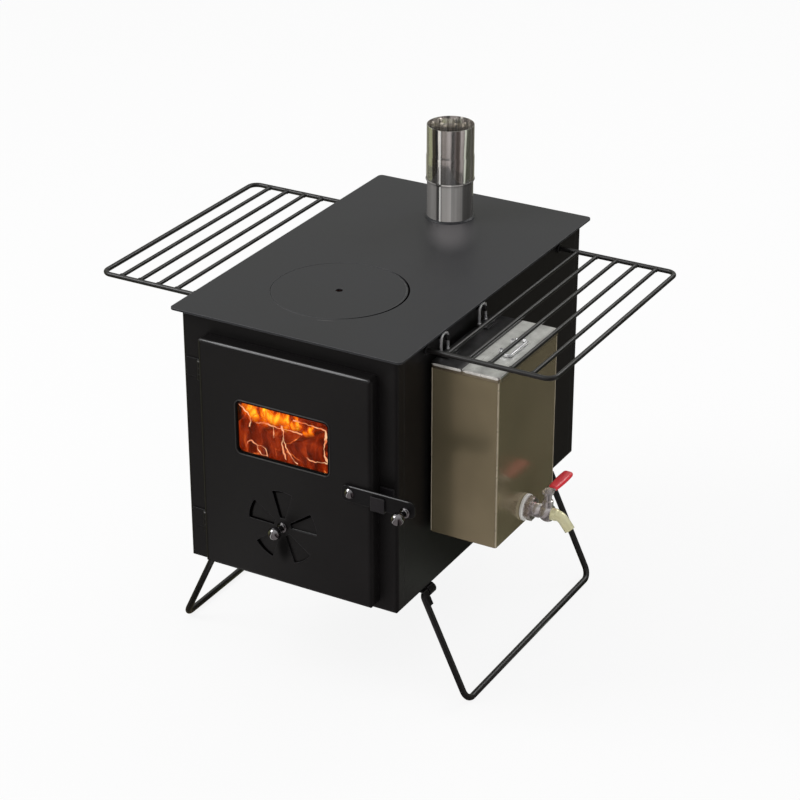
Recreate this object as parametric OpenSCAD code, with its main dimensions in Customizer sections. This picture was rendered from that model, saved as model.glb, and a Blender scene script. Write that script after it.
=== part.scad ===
// Tent wood stove: a folded sheet-steel firebox on folding rod legs, with a hinged front door,
// a lift-out hotplate, a flue spigot with its first pipe, two push-in side racks and a
// stainless water tank that hangs on the right side. Millimetres, origin on the floor.

/* [Firebox] */
// Width of the firebox, across the front
body_w = 290; // [270:1:340]
// Depth of the firebox, front to back
body_d = 475; // [440:1:600]
// Height of the firebox, from its underside to the top plate
body_h = 332; // [320:1:400]
// Thickness of the firebox sheet
sheet = 2; // [1.5:0.1:3]
// Outer radius of the folded edges
bend_r = 5; // [4:0.5:8]
// Depth of the folded returns of the front and back panels
return_d = 16; // [12:1:24]

/* [Top plate] */
// Overhang of the top plate, all round
plate_over = 10; // [6:0.5:12]
// Thickness of the top plate
plate_t = 2.5; // [2:0.1:4]
// Corner radius of the top plate
plate_corner = 6; // [3:0.5:12]

/* [Hotplate] */
// Radius of the lift-out hotplate
hot_r = 82; // [60:1:90]
// Sideways place of the hotplate, from the middle
hot_x = -7.5; // [-12:0.5:12]
// Distance from the front of the firebox to the middle of the hotplate
hot_front = 130.5; // [120:0.5:150]
// Radius of the lifting hole in the hotplate
hot_hole_r = 4.5; // [3:0.5:8]
// Width of the ledge that the hotplate rests on
hot_seat = 9; // [5:0.5:14]

/* [Flue] */
// Outer radius of the flue pipe
pipe_r = 30; // [27:0.5:36]
// Wall of the flue pipe and its spigot
pipe_wall = 0.8; // [0.6:0.1:1.5]
// Length of the pipe section
pipe_len = 71; // [65:1:400]
// Sideways place of the flue, from the middle
flue_x = -5.5; // [-12:0.5:12]
// Distance from the back of the firebox to the middle of the flue
flue_back = 72.5; // [60:0.5:90]
// Height of the spigot's stop bead above the top plate
bead_h = 52; // [30:1:60]
// Length of the spigot that goes up into the pipe
spigot_in = 28; // [20:1:40]
// How much wider the pipe's foot is, all round, where it goes over the spigot
foot_more = 0.5; // [0.5:0.1:1]

/* [Door] */
// Width of the front left beside the door, from side to side together
door_side = 57; // [50:1:75]
// Height of the front left above the door
door_top = 24; // [18:1:40]
// Depth of the folded door tray
door_d = 18; // [16:0.5:24]
// Thickness of the door sheet
door_sheet = 2; // [1.5:0.1:2.5]
// Sideways place of the door's middle
door_x = 4.5; // [0:0.5:6]
// Height of the door's lower edge above the underside
door_z = 10; // [8:0.5:14]
// Width of the steel left between the door's edge and the opening behind it
door_lap = 17; // [16:0.5:24]

/* [Window] */
// Width of the window
win_w = 127; // [90:1:140]
// Height of the window
win_h = 69; // [50:1:80]
// Corner radius of the window
win_r = 7; // [4:0.5:12]
// Height of the window's middle above the underside
win_z = 206.5; // [200:0.5:215]
// Thickness of the glass
glass_t = 4; // [3:0.5:5]
// Overlap of the glass behind the window's edge
glass_lap = 9; // [6:0.5:12]

/* [Air vent] */
// Height of the air vent's middle above the underside
vent_z = 88; // [80:0.5:95]
// Outer radius of the air slots
vent_r = 47; // [36:1:50]
// Inner radius of the air slots
vent_in_r = 12; // [11:0.5:16]
// Number of air slots
vent_n = 5; // [4:1:6]
// Angle that each air slot spans
vent_span = 34; // [20:1:36]
// Thickness of the damper disc
disc_t = 1.5; // [1:0.1:2]

/* [Knobs] */
// Radius of the ball knobs
knob_r = 8; // [6:0.5:10]
// Distance from a knob's foot to the middle of its ball
knob_out = 18; // [15:0.5:24]

/* [Latch] */
// Height of the latch's pivot above the underside
latch_z = 159.5; // [150:0.5:170]
// Distance from the door's right edge to the latch's pivot
latch_in = 27; // [20:0.5:40]
// Reach of the latch bar from its pivot to its free end
latch_len = 86; // [75:1:100]
// Height of the latch bar
latch_h = 20; // [16:0.5:24]
// Thickness of the latch bar
latch_t = 3; // [2:0.1:4]
// Width of the keeper
keeper_w = 18; // [12:0.5:19]

/* [Side racks] */
// Reach of a rack, from the firebox side to the middle of its outer rod
rack_reach = 161; // [130:1:200]
// Distance from each end of the firebox to the middle of a rack's side rod
rack_end = 66; // [58:1:85]
// Depth of the rack's rods below the underside of the top plate
rack_drop = 14; // [12:0.5:16]
// Radius of the rack's frame rod
rack_rod_r = 3; // [2.5:0.1:3.5]
// Radius of the rack's inner bars
rack_bar_r = 2.5; // [2:0.1:3]
// Number of inner bars
rack_bars = 5; // [3:1:7]
// Bend radius of the rack's outer corners
rack_bend = 12; // [8:1:20]
// Length of each rack socket
socket_len = 46; // [36:1:60]

/* [Legs] */
// Height of the firebox's underside above the floor
leg_h = 143; // [120:1:160]
// Distance that each foot stands out sideways from its pivot
leg_splay = 62; // [40:1:80]
// Distance between the middles of a leg's two side rods
leg_d = 343; // [300:1:360]
// Radius of the leg rod
leg_rod_r = 4; // [3.5:0.1:5]
// Bend radius of the leg rod
leg_bend = 14; // [10:1:20]

/* [Water tank] */
// Width of the tank, out from the stove
tank_w = 87; // [80:1:110]
// Length of the tank along the stove
tank_d = 150; // [130:1:180]
// Height of the tank
tank_h = 221; // [180:1:225]
// Thickness of the tank sheet
tank_sheet = 1; // [0.8:0.1:1.5]
// Air gap between the stove's side and the tank
tank_gap = 5; // [4.5:0.1:6]
// Depth of the tank's top below the underside of the top plate
tank_drop = 30; // [29:0.5:40]
// Distance from the stove's front to the tank's middle
tank_front = 145.5; // [130:0.5:170]
// Distance between the two hanging loops
loop_pitch = 94; // [70:1:110]
// Upward slant of the hanging pegs
peg_slant = 5; // [3:0.5:7]

/* [Tap] */
// Height of the tap's axis above the tank's underside
tap_z = 20; // [18:0.5:40]
// Radius of the tap's sealing washer
washer_r = 16.5; // [15:0.5:18]
// Outer radius of the spout
spout_r = 6.5; // [5.5:0.1:7]
// Length of the lever from its pivot
lever_len = 56; // [45:1:65]

/* [Hidden] */
$fn = 64;

// Clearances
fit = 0.05;        // a pin in its bore
gap = 0.3;         // pieces that lie near each other but do not touch
slip = 0.3;        // the pipe over its spigot, the lid in its hole
eps = 1;           // how far a cut runs past the face it opens

// Places that follow from the driving sizes, in the firebox's own frame:
// x from its middle, y from its middle towards the back, z from its underside
half_w = body_w / 2;
front_y = -body_d / 2;
back_y = body_d / 2;
door_front = front_y - gap - door_d;
door_w = body_w - door_side;
door_h = body_h - door_z - door_top;
door_x0 = door_x - door_w / 2;
door_x1 = door_x + door_w / 2;
door_back = front_y - gap;
skin_back = door_front + door_sheet;
plate_top = body_h + plate_t;
hot_y = front_y + hot_front;
flue_y = back_y - flue_back;
foot_r = pipe_r + foot_more;
spigot_r = foot_r - pipe_wall - slip;
bead_top = plate_top + bead_h;

bar_gap = 1;                                  // spacer between the door and the latch bar
bar_back = door_front - bar_gap;
bar_front = bar_back - latch_t;
pivot_x = door_x1 - latch_in;
knob_foot_r = 6.5;
knob_stem_r = 4;
knob_foot_t = 2.5;

hinge_r = 4.2;
hinge_pin_r = 2.5;
knuckle_h = 7.8;
hinge_gap = 0.8;
hinge_x = door_x0 - hinge_r - hinge_gap;
leaf_gap = 0.6;
hinge_y = front_y - hinge_r - leaf_gap;
hinge_leaf_t = 1.6;
hinge_up = 48;                                // hinges' distance from the door's ends
hinge_zs = [door_z + hinge_up, door_z + door_h - hinge_up];

rack_z = body_h - rack_drop;
socket_wall = 2.5;
socket_r = rack_rod_r + socket_wall;
socket_out = 3;
rack_short = 8;
rack_in = socket_len - rack_short;

leg_x = half_w - 2;
lug_wall = 3;
leg_drop = leg_rod_r + lug_wall;
leg_fall = leg_h - leg_drop - leg_rod_r;
leg_run = sqrt(leg_splay * leg_splay + leg_fall * leg_fall);
leg_angle = atan(leg_splay / leg_fall);
lug_len = 14;

tank_x0 = half_w + tank_gap;
tank_x1 = tank_x0 + tank_w;
rack_d = body_d - 2 * rack_end;
tank_y = front_y + tank_front;
tank_z1 = body_h - tank_drop;
tank_z0 = tank_z1 - tank_h;
cover_w = 40;                                 // fixed part of the tank's top
rim_h = 6;
rim_t = 1;
wire_r = 1.5;
tab_t = 1.5;
loop_w = 19;
loop_drop = 2.8;
loop_top = body_h - loop_drop;
loop_gap = 0.1;
loop_x = tank_x0 + wire_r + loop_gap;
peg_r = 3.5;
peg_len = 12;
tap_y = tank_y;
tap_h = tank_z0 + tap_z;
pivot_out = 30;                               // tap's pivot, out from the tank
nut_t = 8;
backnut_t = 5;
stem_top = 26;
lever_t = 2.5;
washer_t = 4;
barrel_r = 9;
glass_w = win_w + 2 * glass_lap;
glass_h = win_h + 2 * glass_lap;
screw_r = 2;
screw_head_h = 2.5;
shaft_r = 3;
grate_z = 36;

opening_r = 6;
ring_t = 2;
socket_end = 2;
ledge_w = 14;
ledge_end = 15;
ledge_len = body_d - 2 * (return_d + ledge_end);
grate_t = 6;
grate_side = 4;
grate_w = body_w - 2 * (sheet + grate_side);
grate_end = 5;
grate_len = ledge_len - 2 * grate_end;
grate_r = 8;
slot_w = 10;
slot_pitch = 20;
slot_n = floor((grate_w - slot_pitch) / slot_pitch);
slot_len = (grate_len - 3 * slot_pitch + slot_w) / 2;
flange_t = 1.5;
flange_w = 9;
bead_t = 3;
bead_lip = 0.5;
foot_len = spigot_in + 2;                     // the widened foot ends just above the spigot
foot_taper = 3;
win_left = 2.5;
win_x = door_x - win_left;
retainer_lap = 10;
retainer_t = 1.5;
channel_w = 10;
channel_t = 1;
channel_d = 8.4;
seal_r = 3.5;
seal_in = door_sheet + (channel_w - channel_t) / 2;
seal_bend = 8;
hinge_leaf_w = 22;
pin_head_t = 1.2;
keeper_gap = 2.5;
keeper_x = door_x1 + keeper_gap;
keeper_t = 2;
keeper_z = latch_z - latch_h / 2 - gap - keeper_t;
lip_gap = 0.6;
lip_front = bar_front - lip_gap - keeper_t;
lip_low = 4;
latch_back = 10;
latch_corner = 6;
knob_in = 12;
knob_x = pivot_x + latch_len - knob_in;
knob_low = 4;
knob_z = latch_z - knob_low;
bolt_r = 4;
bolt_head_r = 6.5;
bolt_head_h = 4;
washer_big_r = 7;
nut_in = 4;
disc_y = skin_back + gap;
disc_rim = 4;
stub_turn = 2;
stub_bend = leg_rod_r + stub_turn;
stub_end = 2;
stub_len = stub_bend + lug_len + 2 * stub_end;
stop_back = 16;
stop_w = 9;
stop_more = 9;
stop_reach = stub_bend + stop_more;
stop_out = leg_rod_r + gap;
stop_rise = (leg_drop - (stop_out + sheet) * sin(leg_angle)) / cos(leg_angle);
tank_corner = 3;
lid_top = tank_z1 + rim_t;
ledge_in = 7;
tab_w = 16;
rivet_out = 10;
tab_len = 28;
rivet_r = 1.3;
rivet_in = 4;
peg_z = loop_top - 2 * wire_r - gap - peg_r / cos(peg_slant) - (loop_x - half_w) * tan(peg_slant);
standoff_up = 25;
standoff_r = 8;
handle_in = 20;
handle_x = tank_x0 + cover_w + handle_in;
handle_d = 46;
handle_arm = 14;
handle_up = 2;
handle_bend = 3.5;
stub_in = 11;
clip_in = 8;
clip_w = 7;
clip_t = 4;
shank_r = 6.8;
shank_in = 9;
hex_r = 15.6;
backnut_r = 12;
barrel_end = pivot_out + 6;
ball_r = 11;
bonnet_r = 6.5;
stem_r = 4.5;
stem_step = 8;
water_r = 4;
pin_in = 8;
lever_pin_r = 2.5;
spout_run = 7;
spout_step = 7;
spout_fall = 13;
spout_angle = 52;
spout_wall = 1.8;
spout_collar = 3;
hub_r = 7;
lever_w = 9;
sleeve_t = 2.4;
sleeve_from = 10;
screw_hex_t = 3;
screw_hex_r = 5;

// The whole stove's reach to the front and back sets where the frame's origin lies
knob_reach = knob_out + knob_r;
front_reach = max(-door_front, -bar_front) + knob_reach;
back_reach = back_y + plate_over;
origin_y = (front_reach - back_reach) / 2;

module at_stove() translate([0, origin_y, leg_h]) children();
module mirror_pair() {
    children();
    mirror([1, 0, 0]) children();
}

// A rectangle with round corners, its middle on the origin
module round_rect(w, h, r) {
    union() {
        square([w - 2 * r, h], center = true);
        square([w, h - 2 * r], center = true);
        for (x = [-1, 1], y = [-1, 1]) translate([x * (w / 2 - r), y * (h / 2 - r)]) circle(r);
    }
}

// Turns a flat outline so that it faces the front, and gives it a depth towards the back
module facing_front(depth) rotate([90, 0, 0]) translate([0, 0, -depth]) linear_extrude(depth) children();

// A cylinder that runs from the origin towards the front, back or right
module rod_front(r, l) rotate([90, 0, 0]) cylinder(h = l, r = r);
module rod_back(r, l) rotate([-90, 0, 0]) cylinder(h = l, r = r);
module rod_right(r, l) rotate([0, 90, 0]) cylinder(h = l, r = r);

// A block with its front edges rounded, front face on y = 0, middle of its width on x = 0
module pan(w, d, h, r) {
    intersection() {
        linear_extrude(h) translate([-w / 2, 0]) union() {
            translate([r, 0]) square([w - 2 * r, d]);
            translate([0, r]) square([w, d - r]);
            for (x = [r, w - r]) translate([x, r]) circle(r);
        }
        translate([-w / 2, 0, 0]) rotate([90, 0, 90]) linear_extrude(w) union() {
            translate([r, 0]) square([d - r, h]);
            translate([0, r]) square([d, h - 2 * r]);
            for (z = [r, h - r]) translate([r, z]) circle(r);
        }
        translate([0, 0, h / 2]) facing_front(d) round_rect(w, h, r);
    }
}

// Round rod along a flat path of points in the XY plane, with its corners bent to a radius
function turn(a, b, c) = atan2((b - a).x * (c - b).y - (b - a).y * (c - b).x, (b - a) * (c - b));
function trim_of(p, i, b) = (i == 0 || i == len(p) - 1) ? 0
    : b * tan(abs(turn(p[i - 1], p[i], p[i + 1])) / 2);
module bent_rod(p, r, b) {
    for (i = [0 : len(p) - 2]) {
        d = p[i + 1] - p[i];
        l = norm(d);
        a = trim_of(p, i, b[i]);
        translate(p[i] + d / l * a) rotate([0, 0, atan2(d.y, d.x)])
            rod_right(r, l - a - trim_of(p, i + 1, b[i + 1]));
    }
    for (i = [1 : len(p) - 2]) {
        d = (p[i] - p[i - 1]) / norm(p[i] - p[i - 1]);
        t = turn(p[i - 1], p[i], p[i + 1]);
        n = [-d.y, d.x] * sign(t);
        c = p[i] - d * trim_of(p, i, b[i]) + n * b[i];
        translate(c) rotate([0, 0, atan2(-n.y, -n.x) + min(t, 0)]) rotate_extrude(angle = abs(t))
            translate([b[i], 0]) circle(r);
    }
}

// The wedge-shaped air slots, turned by an angle; the door and its disc share them
module air_slots(turned) {
    arc = vent_span / 2;
    for (k = [0 : vent_n - 1]) rotate(90 + turned + k * 360 / vent_n)
        polygon(concat([for (a = [-arc : arc / 4 : arc]) vent_r * [cos(a), sin(a)]],
            [[vent_in_r * cos(arc), vent_in_r * sin(arc)], [vent_in_r * cos(arc), -vent_in_r * sin(arc)]]));
}

// A ball knob on a stem with a round foot, its foot on y = 0 and pointing to the front
module ball_knob() {
    rotate([90, 0, 0]) rotate_extrude() union() {
        square([knob_foot_r, knob_foot_t]);
        square([knob_stem_r, knob_out]);
        intersection() {
            translate([0, knob_out]) circle(knob_r);
            translate([0, knob_out - knob_r]) square([knob_r, 2 * knob_r]);
        }
    }
}

// ---- Firebox ----

// Side walls and floor, one sheet folded to a channel
module channel_outline(w, h, r) {
    translate([-w / 2, r]) square([w, h - r]);
    translate([r - w / 2, 0]) square([w - 2 * r, h]);
    for (x = [-1, 1]) translate([x * (w / 2 - r), r]) circle(r);
}

module firebox_shell() color("#1b1b1c") at_stove() difference() {
    translate([0, front_y + return_d, 0]) facing_front(body_d - 2 * return_d) difference() {
        channel_outline(body_w, body_h, bend_r);
        translate([0, sheet]) channel_outline(body_w - 2 * sheet, body_h, bend_r - sheet);
    }
    for (s = [-1, 1]) translate([-half_w - eps, s * rack_d / 2, rack_z])
        rod_right(socket_r + fit, body_w + 2 * eps);
}

// A panel folded on all its sides but the top, where the top plate is welded on
module end_pan() intersection() {
    difference() {
        pan(body_w, return_d, body_h + 2 * bend_r, bend_r);
        translate([0, sheet, sheet])
            pan(body_w - 2 * sheet, return_d, body_h + 2 * bend_r, bend_r - sheet);
    }
    translate([-body_w, -eps, 0]) cube([2 * body_w, return_d + 2 * eps, body_h]);
}

module front_frame() color("#1f1f20") at_stove() difference() {
    translate([0, front_y, 0]) end_pan();
    translate([door_x, front_y - eps, door_z + door_h / 2]) facing_front(sheet + 2 * eps)
        round_rect(door_w - 2 * door_lap, door_h - 2 * door_lap, opening_r);
}

module back_panel() color("#1b1b1c") at_stove() translate([0, back_y, 0]) rotate([0, 0, 180]) end_pan();

module top_plate() color("#3c3c3e") at_stove() translate([0, 0, body_h]) linear_extrude(plate_t)
    difference() {
        round_rect(body_w + 2 * plate_over, body_d + 2 * plate_over, plate_corner);
        translate([hot_x, hot_y]) circle(hot_r + slip);
        translate([flue_x, flue_y]) circle(spigot_r + slip);
    }

module hotplate_ring() color("#1b1b1c") at_stove() translate([hot_x, hot_y, body_h - ring_t])
    linear_extrude(ring_t) difference() {
        circle(hot_r + hot_seat);
        circle(hot_r - hot_seat);
    }

module hotplate() color("#3c3c3e") at_stove() translate([hot_x, hot_y, body_h]) linear_extrude(plate_t)
    difference() {
        circle(hot_r);
        circle(hot_hole_r);
    }

// Closed-ended tubes through the side walls, which take the racks' side rods
module rack_sockets() color("#1b1b1c") at_stove() mirror_pair() for (s = [-1, 1])
    translate([half_w + socket_out - socket_len, s * rack_d / 2, rack_z]) difference() {
        rod_right(socket_r, socket_len);
        translate([socket_end, 0, 0]) rod_right(rack_rod_r + fit, socket_len);
    }

module grate_ledges() color("#2a2725") at_stove() mirror_pair()
    translate([half_w - sheet, ledge_len / 2, grate_z]) rotate([90, 0, 0]) linear_extrude(ledge_len) union() {
        translate([-ledge_w, -sheet]) square([ledge_w, sheet]);
        translate([-sheet, -ledge_w]) square([sheet, ledge_w]);
    }

// Cast grate with long slots in two rows
module fire_grate() color("#3a3532") at_stove() translate([0, 0, grate_z]) linear_extrude(grate_t)
    difference() {
        round_rect(grate_w, grate_len, grate_r);
        for (row = [-1, 1], k = [0 : slot_n - 1])
            translate([(k - (slot_n - 1) / 2) * slot_pitch, row * (slot_len + slot_pitch - slot_w) / 2])
                round_rect(slot_w, slot_len, slot_w / 2 - fit);
    }

// ---- Flue ----

module flue_spigot() color("silver") at_stove() translate([flue_x, flue_y, 0]) rotate_extrude() union() {
    translate([spigot_r - pipe_wall, body_h - flange_t])
        square([pipe_wall, bead_top + spigot_in - body_h + flange_t]);
    translate([spigot_r - pipe_wall, body_h - flange_t]) square([flange_w, flange_t]);
    polygon([[spigot_r - pipe_wall / 2, bead_top - bead_t], [spigot_r, bead_top - bead_t],
        [foot_r + bead_lip, bead_top - bead_t / 2], [foot_r + bead_lip, bead_top],
        [spigot_r - pipe_wall / 2, bead_top]]);
}

// Rolled pipe with its foot widened to go over the spigot
module flue_pipe() color("silver") at_stove() translate([flue_x, flue_y, bead_top]) rotate_extrude()
    polygon([[foot_r - pipe_wall, 0], [foot_r, 0], [foot_r, foot_len], [pipe_r, foot_len + foot_taper],
        [pipe_r, pipe_len], [pipe_r - pipe_wall, pipe_len], [pipe_r - pipe_wall, foot_len + foot_taper],
        [foot_r - pipe_wall, foot_len]]);

// ---- Door ----

module door_panel() color("#1d1d1e") at_stove() difference() {
    translate([door_x, door_front, door_z]) difference() {
        pan(door_w, door_d, door_h, bend_r);
        translate([0, door_sheet, door_sheet])
            pan(door_w - 2 * door_sheet, door_d, door_h - 2 * door_sheet, bend_r - door_sheet);
    }
    translate([win_x, door_front - eps, win_z]) facing_front(door_sheet + 2 * eps)
        round_rect(win_w, win_h, win_r);
    translate([0, door_front - eps, vent_z]) facing_front(door_sheet + 2 * eps) air_slots(0);
    translate([0, skin_back + eps, vent_z]) rod_front(shaft_r + fit, door_sheet + 2 * eps);
    translate([pivot_x, skin_back + eps, latch_z]) rod_front(bolt_r, door_sheet + 2 * eps);
}

module door_glass() color("#20100a", 0.6) at_stove() translate([win_x, skin_back, win_z])
    facing_front(glass_t) round_rect(glass_w, glass_h, win_r);

module at_retainer_corners() for (x = [-1, 1], z = [-1, 1])
    translate([win_x + x * (glass_w + retainer_lap) / 2, 0, win_z + z * (glass_h - retainer_lap) / 2])
        children();

module glass_retainer() color("#2b2b2c") at_stove() difference() {
    translate([win_x, skin_back + glass_t, win_z]) facing_front(retainer_t) difference() {
        round_rect(glass_w + 2 * retainer_lap, glass_h + 2 * door_sheet, win_r);
        round_rect(win_w, win_h, win_r);
    }
    at_retainer_corners() translate([0, door_back, 0]) rod_front(screw_r, door_d);
}

module retainer_screws() color("#8c8c8c") at_stove() at_retainer_corners() translate([0, skin_back, 0]) {
    rod_back(screw_r + 1.5, glass_t);
    rod_back(screw_r, glass_t + retainer_t + eps);
    translate([0, glass_t + retainer_t, 0]) rotate([-90, 0, 0])
        cylinder(h = screw_head_h, r = 2 * screw_r, $fn = 6);
}

// A ring that follows the door's edge, from an outer inset to an inner inset
module door_ring(outer, inner) difference() {
    square([door_w - 2 * outer, door_h - 2 * outer], center = true);
    square([door_w - 2 * inner, door_h - 2 * inner], center = true);
}

module seal_channel() color("#1d1d1e") at_stove()
    translate([door_x, door_back - channel_d, door_z + door_h / 2]) union() {
        facing_front(channel_t) door_ring(door_sheet, door_sheet + channel_w);
        facing_front(channel_d - eps) door_ring(door_sheet + channel_w - channel_t, door_sheet + channel_w);
    }

// Round rope in the channel, one straight length a side and a quarter turn at each corner
module door_seal() color("#d8d2c4") at_stove() {
    w = door_w - 2 * seal_in;
    h = door_h - 2 * seal_in;
    translate([door_x, door_back - seal_r - fit, door_z + door_h / 2]) for (s = [0, 180]) rotate([0, s, 0]) {
        translate([seal_bend - w / 2, 0, h / 2]) rod_right(seal_r, w - 2 * seal_bend);
        translate([w / 2, 0, seal_bend - h / 2]) cylinder(h = h - 2 * seal_bend, r = seal_r);
        for (m = [0, 1]) mirror([m, 0, 0]) translate([w / 2 - seal_bend, 0, h / 2 - seal_bend])
            rotate([90, 0, 0]) rotate_extrude(angle = 90) translate([seal_bend, 0]) circle(seal_r);
    }
}

// ---- Hinges ----

module knuckle() cylinder(h = knuckle_h, r = hinge_r);

module at_hinges() for (z = hinge_zs) translate([hinge_x, hinge_y, z]) children();

module hinge_leaves() color("#1b1b1c") at_stove() at_hinges() difference() {
    union() {
        for (s = [-1, 1]) translate([0, 0, s * (knuckle_h + gap) - knuckle_h / 2]) {
            knuckle();
            translate([-hinge_leaf_w, front_y - hinge_y - hinge_leaf_t, 0])
                cube([hinge_leaf_w, hinge_leaf_t, knuckle_h]);
        }
        translate([-hinge_leaf_w, front_y - hinge_y - hinge_leaf_t, -knuckle_h])
            cube([hinge_leaf_w - hinge_r - 2 * gap, hinge_leaf_t, 2 * knuckle_h]);
    }
    translate([0, 0, -2 * knuckle_h]) cylinder(h = 4 * knuckle_h, r = hinge_pin_r + fit);
}

module door_hinge_leaves() color("#1b1b1c") at_stove() at_hinges() difference() {
    translate([0, 0, -knuckle_h / 2]) union() {
        knuckle();
        translate([0, -hinge_leaf_t, 0]) cube([door_x0 - hinge_x, 2 * hinge_leaf_t, knuckle_h]);
    }
    translate([0, 0, -2 * knuckle_h]) cylinder(h = 4 * knuckle_h, r = hinge_pin_r + fit);
}

module hinge_pins() color("#6e6e70") at_stove() at_hinges() {
    translate([0, 0, -1.5 * knuckle_h - gap]) cylinder(h = 3 * knuckle_h + 2 * gap, r = hinge_pin_r);
    translate([0, 0, 1.5 * knuckle_h + gap]) cylinder(h = pin_head_t, r = hinge_r - gap);
}

// ---- Latch ----

module latch_keeper() color("#242425") at_stove() translate([keeper_x, 0, 0]) union() {
    translate([0, front_y - sheet, keeper_z]) cube([keeper_w, sheet, latch_h]);
    translate([0, lip_front, keeper_z]) cube([keeper_w, front_y - lip_front, keeper_t]);
    translate([0, lip_front, keeper_z]) cube([keeper_w, keeper_t, latch_h + keeper_t - lip_low]);
}

module latch_bar() color("#2c2c2e") at_stove() difference() {
    translate([pivot_x - latch_back, bar_front, latch_z - latch_h / 2]) facing_front(latch_t)
        translate([(latch_back + latch_len) / 2, latch_h / 2])
            round_rect(latch_back + latch_len, latch_h, latch_corner);
    translate([pivot_x, bar_back + eps, latch_z]) rod_front(bolt_r + fit, latch_t + 2 * eps);
    translate([knob_x, bar_back + eps, knob_z]) rod_front(shaft_r - fit, latch_t + 2 * eps);
}

module latch_knob() color("#d9d9db") at_stove() translate([knob_x, bar_front, knob_z]) union() {
    ball_knob();
    rod_back(shaft_r - fit, latch_t);
}

module latch_washer() color("#8c8c8c") at_stove() translate([pivot_x, door_front, latch_z]) difference() {
    rod_front(washer_big_r, bar_gap - fit);
    translate([0, eps, 0]) rod_front(bolt_r + fit, bar_gap + 2 * eps);
}

module latch_bolt() color("#c9c9cb") at_stove() translate([pivot_x, bar_front - gap, latch_z]) union() {
    rod_back(bolt_r, skin_back + nut_in - bar_front + gap);
    dome_front(bolt_head_r, bolt_head_h);
}

module dome_front(r, h) {
    big = (r * r + h * h) / (2 * h);
    rotate([90, 0, 0]) rotate_extrude() intersection() {
        translate([0, h - big]) circle(big);
        square([r, h]);
    }
}

module latch_nut() color("#8c8c8c") at_stove() translate([pivot_x, skin_back, latch_z]) difference() {
    rotate([-90, 0, 0]) cylinder(h = nut_in, r = washer_big_r, $fn = 6);
    translate([0, -eps, 0]) rod_back(bolt_r, nut_in + 2 * eps);
}

// ---- Damper ----

module damper_disc() color("#1b1b1c") at_stove() translate([0, disc_y, vent_z]) difference() {
    facing_front(disc_t) difference() {
        circle(vent_r + disc_rim);
        air_slots(180 / vent_n);
    }
    translate([0, -eps, 0]) rod_back(shaft_r, disc_t + 2 * eps);
}

module damper_knob() color("#d9d9db") at_stove() translate([0, door_front - gap, vent_z]) union() {
    ball_knob();
    rod_back(shaft_r, disc_y + disc_t + nut_in - door_front + gap);
}

module damper_nut() color("#8c8c8c") at_stove() translate([0, disc_y + disc_t, vent_z]) difference() {
    rotate([-90, 0, 0]) cylinder(h = nut_in, r = knob_foot_r, $fn = 6);
    translate([0, -eps, 0]) rod_back(shaft_r, nut_in + 2 * eps);
}

// ---- Side racks ----

// Welded rack: a bent frame rod whose ends push into the sockets, with straight bars between
module rack() at_stove() translate([0, 0, rack_z]) union() {
    x0 = half_w + socket_out - rack_in;
    x1 = half_w + rack_reach;
    y1 = rack_d / 2;
    bent_rod([[x0, -y1], [x1, -y1], [x1, y1], [x0, y1]], rack_rod_r, [0, rack_bend, rack_bend, 0]);
    for (k = [1 : rack_bars]) translate([half_w + k * rack_reach / (rack_bars + 1), -y1, 0])
        rod_back(rack_bar_r, rack_d);
}

module rack_right() color("#232325") rack();
module rack_left() color("#232325") mirror([1, 0, 0]) rack();

// ---- Legs ----

// One leg: a rod bent to a U, its ends turned in to pivot in the lugs
module leg() at_stove() translate([leg_x, 0, -leg_drop]) rotate([0, -90 - leg_angle, 0]) rotate([0, 0, 90]) {
    w = leg_d / 2;
    stub = w - stub_len;
    bent_rod([[-stub, 0], [-w, 0], [-w, leg_run], [w, leg_run], [w, 0], [stub, 0]], leg_rod_r,
        [0, stub_bend, leg_bend, leg_bend, stub_bend, 0]);
}

module leg_right() color("#1c1c1d") leg();
module leg_left() color("#1c1c1d") mirror([1, 0, 0]) leg();

module leg_lugs() color("#1b1b1c") at_stove() mirror_pair() for (s = [-1, 1])
    translate([leg_x, s * (leg_d / 2 - stub_bend - stub_end - lug_len / 2), -leg_drop]) difference() {
        union() {
            translate([0, -lug_len / 2, 0]) rod_back(leg_drop - leaf_gap, lug_len);
            translate([-leg_drop, -lug_len / 2, 0]) cube([leg_drop + sheet, lug_len, leg_drop]);
        }
        translate([0, -lug_len, 0]) rod_back(leg_rod_r + fit, 2 * lug_len);
    }

// Tabs that the splayed legs lean on
module leg_stops() color("#1b1b1c") at_stove() mirror_pair() for (s = [-1, 1])
    translate([leg_x, s * leg_d / 2 - stop_w / 2, 0]) union() {
        translate([-stop_back, 0, -sheet]) cube([stop_back + 2 * sheet, stop_w, sheet]);
        translate([0, 0, -leg_drop]) rotate([0, -leg_angle, 0])
            translate([stop_out, 0, -stop_reach]) cube([sheet, stop_w, stop_reach + stop_rise]);
    }

// ---- Water tank ----

module tank_outline(grow) round_rect(tank_w + 2 * grow, tank_d + 2 * grow, tank_corner + grow);

module at_tank() translate([(tank_x0 + tank_x1) / 2, tank_y, 0]) children();

module tank_shell() color("#a8a294") at_stove() difference() {
    at_tank() translate([0, 0, tank_z0]) difference() {
        linear_extrude(tank_h) tank_outline(0);
        translate([0, 0, tank_sheet]) linear_extrude(tank_h) tank_outline(-tank_sheet);
    }
    translate([tank_x1 - 2 * tank_sheet, tap_y, tap_h]) rod_right(shank_r, 3 * tank_sheet);
}

// The tank's cap, folded down over its walls; the cover and the lid are its two parts
module tank_cap() at_tank() difference() {
    translate([0, 0, tank_z1 - rim_h]) linear_extrude(rim_h + rim_t) tank_outline(gap + rim_t);
    translate([0, 0, tank_z1 - rim_h - eps]) linear_extrude(rim_h + eps) tank_outline(gap);
}

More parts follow.
